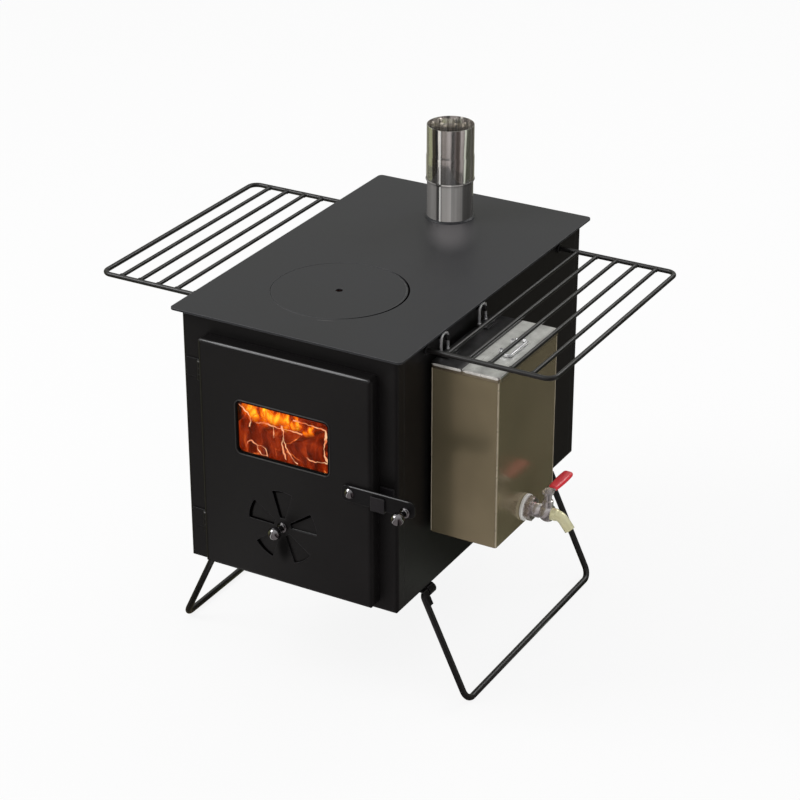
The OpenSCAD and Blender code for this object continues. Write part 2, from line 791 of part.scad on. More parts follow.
module tank_cover() color("#8f897c") at_stove() difference() {
    union() {
        intersection() {
            tank_cap();
            translate([tank_x0, tank_y - tank_d, tank_z0]) cube([cover_w, 2 * tank_d, 2 * tank_h]);
        }
        translate([tank_x0 + cover_w - ledge_in, tank_y - tank_d / 2 + tank_sheet + gap, tank_z1 - rim_t])
            cube([2 * ledge_in, tank_d - 2 * (tank_sheet + gap), rim_t]);
    }
    at_rivets() translate([0, 0, -rim_h]) cylinder(h = 2 * rim_h, r = rivet_r + fit);
}

module tank_lid() color("#c9c5b8") at_stove() intersection() {
    tank_cap();
    translate([tank_x0 + cover_w + gap, tank_y - tank_d, tank_z0]) cube([2 * tank_w, 2 * tank_d, 2 * tank_h]);
}

module at_loops() for (s = [-1, 1]) translate([0, tank_y + s * loop_pitch / 2, 0]) children();

module at_rivets() at_loops() for (s = [-1, 1])
    translate([tank_x0 + rivet_out, s * (tab_len / 2 - rivet_in), tank_z1]) children();

module loop_tabs() color("#8f897c") at_stove() difference() {
    at_loops() translate([tank_x0, -tab_len / 2, lid_top]) cube([tab_w, tab_len, tab_t]);
    at_rivets() translate([0, 0, -rim_h]) cylinder(h = 2 * rim_h, r = rivet_r + fit);
}

module loop_rivets() color("silver") at_stove() at_rivets()
    union() {
        translate([0, 0, -gap]) cylinder(h = rim_t + tab_t + gap, r = rivet_r);
        translate([0, 0, rim_t + tab_t]) rotate([-90, 0, 0]) dome_front(2 * rivet_r, rivet_r);
    }

// Wire arches that hang over the pegs
module tank_loops() color("#d9d9db") at_stove() at_loops() translate([loop_x, 0, 0]) rotate([90, 0, 90]) {
    w = loop_w / 2 - wire_r;
    bent_rod([[-w, lid_top + tab_t], [-w, loop_top - wire_r], [w, loop_top - wire_r], [w, lid_top + tab_t]],
        wire_r, [0, w - gap, w - gap, 0]);
}

// Slanted pegs on the stove's side
module tank_pegs() color("#2c2c2e") at_stove() at_loops() difference() {
    translate([half_w, 0, peg_z]) rotate([0, -peg_slant, 0]) translate([-peg_len, 0, 0])
        rod_right(peg_r, 2 * peg_len);
    translate([half_w - 2 * peg_len, -peg_len, peg_z - peg_len])
        cube([2 * peg_len, 2 * peg_len, 2 * peg_len]);
}

module tank_standoffs() color("#1b1b1c") at_stove() at_loops() translate([half_w, 0, tank_z0 + standoff_up])
    rod_right(standoff_r, tank_gap - gap);

// Clips that hold the handle's ends on the lid
module lid_clips() color("#c9c9cb") at_stove() difference() {
    for (s = [-1, 1])
        translate([handle_x - clip_w / 2, tank_y + s * (handle_d / 2 - clip_in) - clip_t / 2, lid_top])
            cube([clip_w, clip_t, handle_up + wire_r + eps]);
    translate([handle_x, tank_y - handle_d, lid_top + handle_up]) rod_back(wire_r + fit, 2 * handle_d);
}

module lid_handle() color("#d9d9db") at_stove() translate([handle_x, tank_y, lid_top + handle_up]) {
    w = handle_d / 2;
    bent_rod([[0, stub_in - w], [0, -w], [handle_arm, -w], [handle_arm, w], [0, w], [0, w - stub_in]], wire_r,
        [0, handle_bend, handle_bend, handle_bend, handle_bend, 0]);
}

// ---- Tap ----

module at_tap() translate([tank_x1, tap_y, tap_h]) children();

module ring_right(outer, inner, l) difference() {
    rod_right(outer, l);
    translate([-eps, 0, 0]) rod_right(inner, l + 2 * eps);
}

module tap_washer() color("#f0ede4") at_stove() at_tap() ring_right(washer_r, shank_r + fit, washer_t);

module tap_nut() color("#9b938c") at_stove() at_tap() translate([washer_t, 0, 0]) difference() {
    rotate([0, 90, 0]) cylinder(h = nut_t, r = hex_r, $fn = 6);
    translate([-eps, 0, 0]) rod_right(shank_r + fit, nut_t + 2 * eps);
}

module tap_backnut() color("#9b938c") at_stove() at_tap() translate([-tank_sheet - backnut_t, 0, 0])
    difference() {
        rotate([0, 90, 0]) cylinder(h = backnut_t, r = backnut_r, $fn = 6);
        translate([-eps, 0, 0]) rod_right(shank_r + fit, backnut_t + 2 * eps);
    }

// Valve body on its threaded shank, with the bonnet that carries the lever
module tap_body() color("#b8b0a8") at_stove() at_tap() difference() {
    union() {
        translate([-shank_in, 0, 0]) rod_right(shank_r, shank_in + washer_t + nut_t);
        translate([washer_t + nut_t, 0, 0]) rod_right(barrel_r, barrel_end - washer_t - nut_t);
        translate([pivot_out, 0, 0]) sphere(ball_r);
        translate([pivot_out, 0, 0]) cylinder(h = stem_top - gap - stem_step, r = bonnet_r);
        translate([pivot_out, 0, 0]) cylinder(h = stem_top - gap, r = stem_r);
    }
    translate([-shank_in - eps, 0, 0]) rod_right(water_r, shank_in + barrel_end + 2 * eps);
    translate([barrel_end, 0, 0]) rod_right(ball_r + eps, ball_r + eps);
    translate([pivot_out, 0, stem_top - pin_in]) cylinder(h = pin_in + eps, r = lever_pin_r + fit);
}

// Cast spout: a collar, then a pipe that turns down in two equal mitres, bored right through
module tap_spout() color("#d8c98c") at_stove() at_tap() rotate([90, 0, 0]) translate([barrel_end, 0, 0])
    difference() {
        union() {
            rod_right(spout_r + 1, spout_collar);
            mitred(spout_r, spout_run, spout_step, spout_fall);
        }
        translate([-eps, 0, 0]) mitred(spout_r - spout_wall, spout_run + eps, spout_step, spout_fall + eps);
    }

module mitred(r, run, step, fall) {
    turn = spout_angle / 2;
    difference() {
        rod_right(r, run + r);
        translate([run, 0, 0]) beyond(r, -turn / 2);
    }
    translate([run, 0, 0]) rotate([0, 0, -turn]) {
        difference() {
            translate([-r, 0, 0]) rod_right(r, step + 2 * r);
            mirror([1, 0, 0]) beyond(r, -turn / 2);
            translate([step, 0, 0]) beyond(r, -turn / 2);
        }
        translate([step, 0, 0]) rotate([0, 0, -turn]) difference() {
            translate([-r, 0, 0]) rod_right(r, fall + r);
            mirror([1, 0, 0]) beyond(r, -turn / 2);
        }
    }
}

// What lies beyond a mitre plane that is turned by an angle
module beyond(r, angle) rotate([0, 0, angle]) translate([0, -2 * r, -2 * r]) cube(4 * r);

module at_lever() at_tap() translate([pivot_out, 0, stem_top]) children();

module tap_lever() color("silver") at_stove() at_lever() union() {
    cylinder(h = lever_t, r = hub_r);
    translate([-lever_w / 2, 0, 0]) cube([lever_w, lever_len - sleeve_t, lever_t]);
    translate([0, 0, -pin_in + gap]) cylinder(h = pin_in - gap + lever_t, r = lever_pin_r);
}

module lever_sleeve() color("#d8303c") at_stove() at_lever() difference() {
    translate([0, lever_len, lever_t / 2]) rotate([90, 0, 0]) linear_extrude(lever_len - sleeve_from)
        round_rect(lever_w + 2 * sleeve_t, lever_t + 2 * sleeve_t, sleeve_t);
    translate([-lever_w / 2, 0, 0]) cube([lever_w, lever_len - sleeve_t, lever_t]);
}

module lever_screw() color("silver") at_stove() at_lever() translate([0, 0, lever_t]) union() {
    cylinder(h = screw_hex_t, r = screw_hex_r, $fn = 6);
    translate([0, 0, screw_hex_t]) cylinder(h = eps, r = lever_pin_r);
}

firebox_shell();
front_frame();
back_panel();
top_plate();
hotplate_ring();
flue_spigot();
rack_sockets();
hinge_leaves();
hinge_pins();
latch_keeper();
leg_lugs();
leg_stops();
tank_pegs();
tank_standoffs();
grate_ledges();
fire_grate();
door_panel();
door_glass();
glass_retainer();
retainer_screws();
door_hinge_leaves();
seal_channel();
door_seal();
latch_washer();
latch_bolt();
latch_nut();
latch_bar();
latch_knob();
damper_disc();
damper_knob();
damper_nut();
hotplate();
rack_left();
rack_right();
leg_left();
leg_right();
tank_shell();
tank_cover();
tank_loops();
loop_tabs();
loop_rivets();
tap_washer();
tap_nut();
tap_backnut();
tap_body();
tap_spout();
tank_lid();
lid_clips();
lid_handle();
tap_lever();
lever_sleeve();
lever_screw();
flue_pipe();
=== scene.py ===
import math

import bmesh
import bpy
from mathutils import Matrix, Vector, noise


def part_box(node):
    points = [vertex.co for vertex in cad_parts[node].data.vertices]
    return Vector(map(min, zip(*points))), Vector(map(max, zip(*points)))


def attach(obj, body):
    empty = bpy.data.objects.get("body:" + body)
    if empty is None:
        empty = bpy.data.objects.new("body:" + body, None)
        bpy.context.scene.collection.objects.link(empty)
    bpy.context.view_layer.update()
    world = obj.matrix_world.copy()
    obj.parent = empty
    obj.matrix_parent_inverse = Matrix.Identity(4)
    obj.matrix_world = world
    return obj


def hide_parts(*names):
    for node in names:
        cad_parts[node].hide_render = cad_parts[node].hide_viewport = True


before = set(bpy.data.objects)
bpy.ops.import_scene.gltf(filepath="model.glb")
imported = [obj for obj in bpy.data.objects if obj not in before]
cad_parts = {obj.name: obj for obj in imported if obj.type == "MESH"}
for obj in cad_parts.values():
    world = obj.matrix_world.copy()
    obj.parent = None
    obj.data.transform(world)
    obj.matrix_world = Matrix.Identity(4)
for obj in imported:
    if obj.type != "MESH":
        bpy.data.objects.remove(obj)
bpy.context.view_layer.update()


# ---- Camera ----
# A long lens that looks down on the front left to right, as the stove is seen
# in its picture.

def stood(name, data):
    """An object in the scene, with this camera, lamp or mesh in it."""
    thing = bpy.data.objects.new(name, data)
    bpy.context.collection.objects.link(thing)
    return thing


lens = bpy.data.cameras.new("lens")
lens.lens = 106.76
lens.sensor_width = 36
lens.dof.use_dof = False
eye = stood("eye", lens)
eye.location = (1.3189, -2.2944, 1.6102)
eye.rotation_euler = (math.radians(63.59), 0, math.radians(29.41))
bpy.context.scene.camera = eye


# ---- Studio ----
# A wide white floor under a white room, one large soft lamp over the left
# front and a weaker one behind on the right.

def put(tree, kind, sockets=(), **settings):
    """A node with these settings and sockets; a node given as a value stands for its first live output."""
    node = tree.nodes.new(kind if kind.startswith(("Node", "Geometry")) else "ShaderNode" + kind)
    for key, value in settings.items():
        setattr(node, key, value)
    for key, value in dict(sockets).items():
        if isinstance(value, bpy.types.Node):
            value = next(output for output in value.outputs if output.enabled)
        if isinstance(value, bpy.types.NodeSocket):
            tree.links.new(value, node.inputs[key])
        else:
            node.inputs[key].default_value = value
    return node


def material(name):
    """A new material and its empty node tree."""
    new = bpy.data.materials.new(name)
    new.use_nodes = True
    new.node_tree.nodes.clear()
    return new, new.node_tree


def sums(tree, what, *values, **settings):
    """A Math node that does this to these values."""
    return put(tree, "Math", enumerate(values), operation=what, **settings)


def span(tree, value, first, last, low=0.0, high=1.0, smooth=False):
    """The value run from one range into another."""
    return put(tree, "MapRange", {"Value": value, "From Min": first, "From Max": last, "To Min": low, "To Max": high},
               interpolation_type="SMOOTHSTEP" if smooth else "LINEAR")


def mixed(tree, share, start, end, **settings):
    """One colour laid over another, by a share from 0 to 1."""
    return put(tree, "Mix", {0: share, 6: start, 7: end}, data_type="RGBA", **settings)


def mottle(tree, place, size, detail=2.0, **more):
    """Uneven patches over the surface; a higher size makes them smaller."""
    return put(tree, "TexNoise", {"Vector": place, "Scale": size, "Detail": detail, **more})


def tones(tree, share, steps):
    """A share from 0 to 1 turned into colours that run through these places."""
    node = put(tree, "ValToRGB", {"Fac": share})
    row = node.color_ramp.elements
    for place, colour in steps[1:-1]:
        row.new(place)
    for element, (place, colour) in zip(row, steps):
        element.position, element.color = place, (*colour, 1)
    return node


def new_group(name, takes, gives, kind="Shader"):
    """An empty node group with these named sockets, and the node its inputs come from."""
    group = bpy.data.node_groups.new(name, kind + "NodeTree")
    for way, sockets in (("INPUT", takes), ("OUTPUT", gives)):
        for title, socket in sockets.items():
            group.interface.new_socket(title, in_out=way, socket_type="NodeSocket" + socket)
    return group, group.nodes.new("NodeGroupInput")


def bearing(tree, place):
    """The way a place lies round the upright, from 0 to 1."""
    split = put(tree, "SeparateXYZ", {0: place})
    angle = sums(tree, "ARCTAN2", split.outputs["Y"], split.outputs["X"])
    return span(tree, angle, -math.pi, math.pi)


def bands_group():
    """What bright metal sees of the room: soft white panels with dark gaps between them."""
    group, start = new_group("room bands", {"Place": "Vector"}, {"Tone": "Color"})
    olive, moss, mauve, dusk = (0.26, 0.27, 0.14), (0.03, 0.036, 0.016), (0.34, 0.31, 0.31), (0.11, 0.09, 0.09)
    dark, white, pale = (0.012, 0.011, 0.01), (1.0, 0.98, 0.95), (0.58, 0.62, 0.54)
    steps = ((0.0, olive), (0.05, olive), (0.07, (0.07, 0.055, 0.035)), (0.1, (0.2, 0.17, 0.11)), (0.125, dark),
             (0.156, dark), (0.163, white), (0.19, white), (0.197, dark), (0.206, (0.06, 0.05, 0.05)), (0.218, mauve),
             (0.33, mauve), (0.35, dark), (0.375, (0.03, 0.025, 0.025)), (0.4, dusk), (0.45, dusk), (0.47, mauve),
             (0.505, (0.27, 0.24, 0.23)), (0.52, dusk), (0.53, pale), (0.552, pale), (0.562, moss), (0.622, moss),
             (0.65, (0.1, 0.095, 0.08)), (0.7, (0.09, 0.085, 0.07)), (0.74, (0.2, 0.2, 0.14)),
             (0.8, (0.5, 0.5, 0.46)), (0.88, (0.4, 0.4, 0.34)), (0.95, (0.14, 0.14, 0.08)), (1.0, olive))
    panels = tones(group, bearing(group, start.outputs["Place"]), steps)
    panels.color_ramp.interpolation = "EASE"
    put(group, "NodeGroupOutput", {"Tone": panels})
    return group


room_bands = bands_group()
floor_white, tree = material("floor white")
spot = put(tree, "TexCoord")
speckle = mottle(tree, spot.outputs["Object"], 3.0, 3.0)
tone = span(tree, speckle, 0.0, 1.0, 0.92, 0.94)
hue = put(tree, "CombineColor", {"Red": tone, "Green": tone, "Blue": tone})
matt = put(tree, "BsdfDiffuse", {"Color": hue})
bands = put(tree, "Group", {"Place": spot.outputs["Object"]}, node_tree=room_bands)
grey = put(tree, "Emission", {"Color": bands, "Strength": 0.9})
lit = put(tree, "Emission", {"Color": (1, 1, 1, 1), "Strength": 1.0})
path = put(tree, "LightPath")
seen = sums(tree, "MULTIPLY", path.outputs["Is Camera Ray"], 0.88)
mirrored = put(tree, "MixShader", {"Fac": path.outputs["Is Glossy Ray"], 1: matt, 2: grey})
both = put(tree, "MixShader", {"Fac": seen, 1: mirrored, 2: lit})
put(tree, "OutputMaterial", {"Surface": both})

floor_mesh = bpy.data.meshes.new("floor")
rim = [(9 * math.cos(a * math.tau / 96), 9 * math.sin(a * math.tau / 96), -0.0004) for a in range(96)]
floor_mesh.from_pydata(rim, [], [list(range(96))])
floor_mesh.materials.append(floor_white)
floor = stood("floor", floor_mesh)

room = bpy.data.worlds.new("room")
room.use_nodes = True
tree = room.node_tree
tree.nodes.clear()
path = put(tree, "LightPath")
way = put(tree, "TexCoord")
split = put(tree, "SeparateXYZ", {0: way.outputs["Generated"]})
panels = put(tree, "Group", {"Place": way.outputs["Generated"]}, node_tree=room_bands)
height = span(tree, split.outputs["Z"], 0.25, 0.9)
above = mixed(tree, height, panels, (0.62, 0.62, 0.62, 1))
evenly = put(tree, "Background", {"Color": (1, 1, 1, 1), "Strength": 0.62})
banded = put(tree, "Background", {"Color": above, "Strength": 1.0})
bright = put(tree, "Background", {"Color": (1, 1, 1, 1), "Strength": 1.0})
shiny = put(tree, "MixShader", {"Fac": path.outputs["Is Glossy Ray"], 1: evenly, 2: banded})
both = put(tree, "MixShader", {"Fac": path.outputs["Is Camera Ray"], 1: shiny, 2: bright})
put(tree, "OutputWorld", {"Surface": both})
bpy.context.scene.world = room


def lamp(name, place, target, wide, high, power):
    """A soft rectangular lamp aimed at a point."""
    light = bpy.data.lights.new(name, "AREA")
    light.shape = "RECTANGLE"
    light.size, light.size_y, light.energy = wide, high, power
    way = Vector(target) - Vector(place)
    aim = way.to_track_quat("-Z", "Y").to_matrix().to_4x4()
    stood(name, light).matrix_world = Matrix.Translation(place) @ aim


lamp("soft box", (-1.9, -1.5, 2.6), (0, 0, 0.3), 1.5, 1.5, 44)
lamp("back fill", (0.9, 2.3, 2.4), (0, 0, 0.35), 1.4, 1.0, 15)
bpy.context.scene.view_settings.view_transform = "Standard"


# ---- Firebox ----
# Folded 2 mm sheet steel, welded, and sprayed with satin black stove paint that
# bakes on in the first fire. The paint has a fine orange peel and a little dust.

def grain_group():
    """Orange peel, and slow changes of tone and gloss."""
    group, start = new_group("sprayed film", {"Peel size": "Float", "Cloud size": "Float"},
                             {"Shade": "Float", "Rough": "Float", "Height": "Float"})
    where = put(group, "TexCoord").outputs["Object"]
    peel = mottle(group, where, start.outputs["Peel size"], 2.0, Roughness=0.55)
    cloud = mottle(group, where, start.outputs["Cloud size"], 5.0, Roughness=0.6)
    shade = span(group, cloud, 0.3, 0.7, 0.82, 1.2)
    rough = span(group, cloud, 0.3, 0.7, -0.04, 0.05)
    put(group, "NodeGroupOutput", {"Shade": shade, "Rough": rough, "Height": peel})
    return group


def edge_group():
    """A mask of the edges, and a normal that rounds them."""
    group, start = new_group("rubbed edges", {"Width": "Float"}, {"Edge": "Float", "Normal": "Vector"})
    soft = put(group, "Bevel", {"Radius": start.outputs["Width"]}, samples=6)
    plain = put(group, "NewGeometry")
    alike = put(group, "VectorMath", {0: soft, 1: plain.outputs["Normal"]}, operation="DOT_PRODUCT")
    edge = span(group, alike, 0.995, 0.9, 0.0, 1.0)
    put(group, "NodeGroupOutput", {"Edge": edge, "Normal": soft})
    return group


sprayed_film = grain_group()
rubbed_edges = edge_group()


def surface(tree, sockets):
    """The material's own shader, with these sockets."""
    put(tree, "OutputMaterial", {"Surface": put(tree, "BsdfPrincipled", sockets)})


def stove_paint(name, colour, worn, roughness, shine, peel=900, cloud=9, width=0.0012, painted_oval=None):
    """Sprayed paint, rubbed along its edges, and with one oval of painted light and shade, in another tone, where
    asked.
    """
    paint, tree = material(name)
    film = put(tree, "Group", {"Peel size": peel, "Cloud size": cloud}, node_tree=sprayed_film)
    edges = put(tree, "Group", {"Width": width}, node_tree=rubbed_edges)
    body = put(tree, "HueSaturation", {"Color": (*colour, 1), "Value": film.outputs["Shade"]})
    scuff = sums(tree, "MULTIPLY", edges.outputs["Edge"], 0.5)
    coat = mixed(tree, scuff, body, (*worn, 1))
    rough = sums(tree, "ADD", film.outputs["Rough"], roughness)
    bump = put(tree, "Bump", {"Strength": 0.25, "Distance": 0.0002, "Height": film.outputs["Height"],
                              "Normal": edges.outputs["Normal"]})
    # The oval is painted light and shade laid over the paint, with its own roughness.
    if painted_oval:
        centre, turn, size, tint, dull = painted_oval
        where = put(tree, "TexCoord").outputs["Object"]
        shift = put(tree, "VectorMath", {0: where, 1: centre}, operation="SUBTRACT")
        aimed = put(tree, "VectorRotate", {"Vector": shift, "Angle": -turn}, rotation_type="Z_AXIS")
        oval = put(tree, "VectorMath", {0: aimed, 1: [1 / s for s in size]}, operation="MULTIPLY")
        away = put(tree, "VectorMath", {0: oval}, operation="LENGTH")
        mask = span(tree, away, 1.0, 0.25, smooth=True)
        coat = mixed(tree, mask, coat, (*tint, 1))
        rough = sums(tree, "MULTIPLY_ADD", mask, dull, rough)
    surface(tree, {"Base Color": coat, "Roughness": rough, "Specular IOR Level": shine, "Normal": bump})
    return paint


box_y, leg_height = 19.15, 143


def at(x, y, z):
    """A point given in millimetres from the middle of the firebox's underside."""
    return Vector((x, y + box_y, z + leg_height)) / 1000


def finish_node(name, finish):
    """A piece that stays as its solid is, in this finish."""
    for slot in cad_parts[name].material_slots:
        slot.material = finish


black, rubbed = (0.0085, 0.0076, 0.0077), (0.055, 0.055, 0.06)
black_paint = stove_paint("satin black stove paint", black, rubbed, 0.4, 0.22)
for name in ("firebox_shell", "front_frame", "back_panel", "hotplate_ring", "rack_sockets", "hinge_leaves",
             "leg_lugs", "leg_stops", "tank_pegs", "tank_standoffs", "grate_ledges", "glass_retainer",
             "door_hinge_leaves", "seal_channel", "damper_disc"):
    finish_node(name, black_paint)


# ---- Top plate and hotplate ----
# A flat 2.5 mm plate with its edges left square, and a round lid dropped in it.
# The paint is the same black; its colour is set grey here, as painted light for the light it lies under.

# The plate and hotplate tone is a lighter copy of the box's black: painted light on their upward faces.
plate_lit_tone, plate_lit_worn, plate_top = (0.0232, 0.0237, 0.0272), (0.24, 0.24, 0.25), 334.5
lid_paint = stove_paint("satin black lid paint", plate_lit_tone, plate_lit_worn, 0.42, 0.35, cloud=5, width=0.0008)
# A lighter grey oval on the plate, in front of the pipe's foot, is a painted reflection of the pipe.
to_eye, reflection_reach = math.radians(-60.6), 52
reflection_mid = at(-5.5 + reflection_reach * math.cos(to_eye), 165 + reflection_reach * math.sin(to_eye), plate_top)
pipe_reflection_oval = (reflection_mid, to_eye, (0.082, 0.038, 0.02), (0.098, 0.094, 0.097), 0.0)
top_paint = stove_paint("satin black plate paint", plate_lit_tone, plate_lit_worn, 0.42, 0.35, cloud=5, width=0.0008,
                        painted_oval=pipe_reflection_oval)
finish_node("top_plate", top_paint)
upwards, frontwards, rightwards = (0, 0, 1), (0, -1, 0), (1, 0, 0)


def fitted(mesh, crease, body, replaces=()):
    """The mesh as a piece of this body, with its corners sharp past the crease angle."""
    mesh.set_sharp_from_angle(angle=math.radians(crease))
    piece = stood(mesh.name, mesh)
    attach(piece, body)
    if replaces:
        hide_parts(*replaces)


def made(name, verts, faces, finish, body, slot=None, replaces=(), crease=32):
    """A piece from verts and faces, merged and with its faces turned out."""
    mesh = bpy.data.meshes.new(name)
    mesh.from_pydata([tuple(v) for v in verts], [], faces)
    shape = bmesh.new()
    shape.from_mesh(mesh)
    bmesh.ops.remove_doubles(shape, verts=shape.verts, dist=2e-7)
    bmesh.ops.recalc_face_normals(shape, faces=shape.faces)
    shape.to_mesh(mesh)
    shape.free()
    mesh.materials.append(finish)
    mesh.polygons.foreach_set("use_smooth", [True] * len(mesh.polygons))
    fitted(mesh, crease, body, replaces)


def hoop(centre, axis, height, radii):
    """One round of points at this height along an axis, each at its own radius in millimetres."""
    way = Vector(axis).normalized()
    side = way.orthogonal().normalized()
    other = way.cross(side)
    turns = [k * math.tau / len(radii) for k in range(len(radii))]
    return [centre + (way * height + (side * math.cos(a) + other * math.sin(a)) * r) / 1000
            for a, r in zip(turns, radii)]


def skin(rounds, sides, loop=False):
    """Faces between rounds of verts that follow one another, each with this many sides."""
    return [[i * sides + k, i * sides + (k + 1) % sides, (i + 1) % rounds * sides + (k + 1) % sides,
             (i + 1) % rounds * sides + k] for i in range(rounds if loop else rounds - 1) for k in range(sides)]


def turned(profile, centre, axis, steps=64, loop=False):
    """Verts and faces of a turned shape: (radius, height) pairs in millimetres along an axis."""
    verts, faces, rows = [], [], []
    for r, h in profile:
        around = hoop(centre, axis, h, [r] * (1 if r < 1e-6 else steps))
        rows.append(range(len(verts), len(verts) + len(around)))
        verts += around
    pairs = list(zip(rows, rows[1:])) + ([(rows[-1], rows[0])] if loop else [])
    for low, high in pairs:
        for k in range(steps):
            a, b = low[k % len(low)], low[(k + 1) % len(low)]
            c, d = high[(k + 1) % len(high)], high[k % len(high)]
            face = [v for i, v in enumerate((a, b, c, d)) if v not in (a, b, c, d)[:i]]
            if len(face) > 2:
                faces.append(face)
    return verts, faces


def joined(*shapes):
    """Several shapes' verts and faces as one."""
    verts, faces = [], []
    for v, f in shapes:
        faces += [[i + len(verts) for i in face] for face in f]
        verts += v
    return verts, faces


hot_mid = at(-7.5, -107, 0)
lid = [(4.5, 332.3), (4.8, 332), (81.6, 332), (82, 332.4), (82, 333.7), (81.75, 334.2), (81.2, plate_top),
       (5.0, plate_top), (4.65, 334.35), (4.5, 334)]
made("hotplate_disc", *turned(lid, hot_mid, upwards, 160, loop=True), lid_paint, "hotplate", "top_paint",
     ["hotplate"], crease=12)


def flat_arc(radius, first, last, thick, tall):
    """Verts and faces of a thin flat line round the hotplate's middle, thickest halfway along."""
    verts, steps, sides = [], 60, 8
    for k in range(steps + 1):
        a = math.radians(first + (last - first) * k / steps)
        half = max(0.06, thick / 2 * math.sin(math.pi * k / steps) ** 0.6)
        for m in range(sides):
            b = m * math.tau / sides
            r, h = radius + half * math.cos(b), plate_top + tall * math.sin(b)
            verts.append(hot_mid + Vector((math.cos(a) * r, math.sin(a) * r, h)) / 1000)
    faces = [[a, d, c, b] for a, b, c, d in skin(steps + 1, sides)]
    return verts, faces + [list(range(sides)), [steps * sides + m for m in range(sides - 1, -1, -1)]]


# This black, named soot, is painted shade: a dark line along the gap round the hotplate, where it lies in shadow, and
# strips in the air slots.
shade_black = stove_paint("soot", (0.0012, 0.0011, 0.001), (0.002, 0.002, 0.002), 0.9, 0.0, peel=1500, cloud=40)
# The lighter grey lines are painted glints: one just inside the gap on the hotplate's edge, one on the plate just
# outside it.
painted_glint = stove_paint("painted glint paint", (0.1, 0.1, 0.103), (0.2, 0.2, 0.2), 0.4, 0.4, peel=1200, cloud=60)
made("hotplate_gap_shadow", *flat_arc(83, -62, 72, 2.2, 0.12), shade_black, "stove", crease=60)
made("hotplate_painted_glint", *flat_arc(79.9, -12, 62, 0.8, 0.06), painted_glint, "hotplate", crease=60)
made("plate_painted_glint", *flat_arc(88.6, -77, -63, 1.4, 0.06), painted_glint, "stove", crease=60)


# ---- Flue ----
# Polished stainless tube. The lower piece is welded to a flange under the plate
# and swells to a stop bead; the pipe slides over its reduced end and rests there.

def brushed_group():
    """Fine lines drawn out along the metal, and wide patches over it."""
    group, start = new_group("brushed lines", {"Stretch": "Vector", "Blotch": "Float"},
                             {"Line": "Float", "Cloud": "Float"})
    where = put(group, "TexCoord").outputs["Object"]
    pulled = put(group, "VectorMath", {0: where, 1: start.outputs["Stretch"]}, operation="MULTIPLY")
    line = mottle(group, pulled, 1.0, 4.0)
    cloud = mottle(group, where, start.outputs["Blotch"], 4.0, Roughness=0.6)
    put(group, "NodeGroupOutput", {"Line": line, "Cloud": cloud})
    return group


brushed_lines = brushed_group()


def bright_steel(name, light, dark, roughness, stretch, blotch=14, spread=0.08, lines=0.12, bevel=0.0, streaks=0,
                 bare=1.0, skirt=None, around=None):
    """Metal whose colour runs between two tones in patches, with fine lines along one direction."""
    metal, tree = material(name)
    grain = put(tree, "Group", {"Stretch": stretch, "Blotch": blotch}, node_tree=brushed_lines)
    reach = streaks or 0.18
    patch = span(tree, grain.outputs["Line" if streaks else "Cloud"], 0.5 - reach, 0.5 + reach)
    tone = mixed(tree, patch, (*dark, 1), (*light, 1))
    if skirt:
        height, below = skirt
        split = put(tree, "SeparateXYZ", {0: put(tree, "TexCoord").outputs["Object"]})
        under = sums(tree, "LESS_THAN", split.outputs["Z"], height)
        tone = mixed(tree, under, tone, (*below, 1))
    # Tones set by bearing round a centre: painted reflection bands on a tube.
    if around:
        centre, steps = around
        where = put(tree, "TexCoord").outputs["Object"]
        shift = put(tree, "VectorMath", {0: where, 1: centre}, operation="SUBTRACT")
        panels = tones(tree, bearing(tree, shift), [(place, (shade, shade, shade)) for place, shade in steps])
        tone = mixed(tree, 1.0, tone, panels, blend_type="MULTIPLY")
    rough = span(tree, grain.outputs["Line"], 0.3, 0.7, roughness - spread / 2, roughness + spread / 2)
    bump = put(tree, "Bump", {"Strength": lines, "Distance": 0.0001, "Height": grain.outputs["Line"]})
    if bevel:
        edges = put(tree, "Group", {"Width": bevel}, node_tree=rubbed_edges)
        tree.links.new(edges.outputs["Normal"], bump.inputs["Normal"])
    surface(tree, {"Base Color": tone, "Metallic": bare, "Roughness": rough, "Normal": bump})
    return metal


flue_foot = at(-5.5, 165, 0)
# The dark and light bands round the pipe and the spigot are painted reflections.
pipe_painted_reflection = [(0.0, 1), (0.188, 1), (0.2, 0.35), (0.236, 0.22), (0.242, 1), (1.0, 1)]
pipe_steel = bright_steel("polished pipe steel", (0.95, 0.93, 0.9), (0.42, 0.39, 0.35), 0.09, (85, 85, 0.8),
                          blotch=9, lines=0.02, streaks=0.1, bare=0.9, around=(flue_foot, pipe_painted_reflection))
spigot_painted_reflection = [(0.0, 0.4), (0.083, 0.3), (0.2, 0.42), (0.226, 0.4), (0.232, 0.1), (0.264, 0.08), (0.272, 0.85),
                (0.3, 1.0), (0.332, 1.0), (0.338, 0.6), (0.35, 0.75), (0.395, 0.7), (0.412, 0.55), (0.422, 0.2),
                (0.56, 0.16), (0.6, 0.5), (1.0, 0.4)]
foot_steel = bright_steel("brushed spigot steel", (0.98, 0.95, 0.92), (0.72, 0.69, 0.66), 0.2, (120, 120, 0.8),
                          blotch=9, lines=0.02, streaks=0.12, bare=0.35, around=(flue_foot, spigot_painted_reflection))
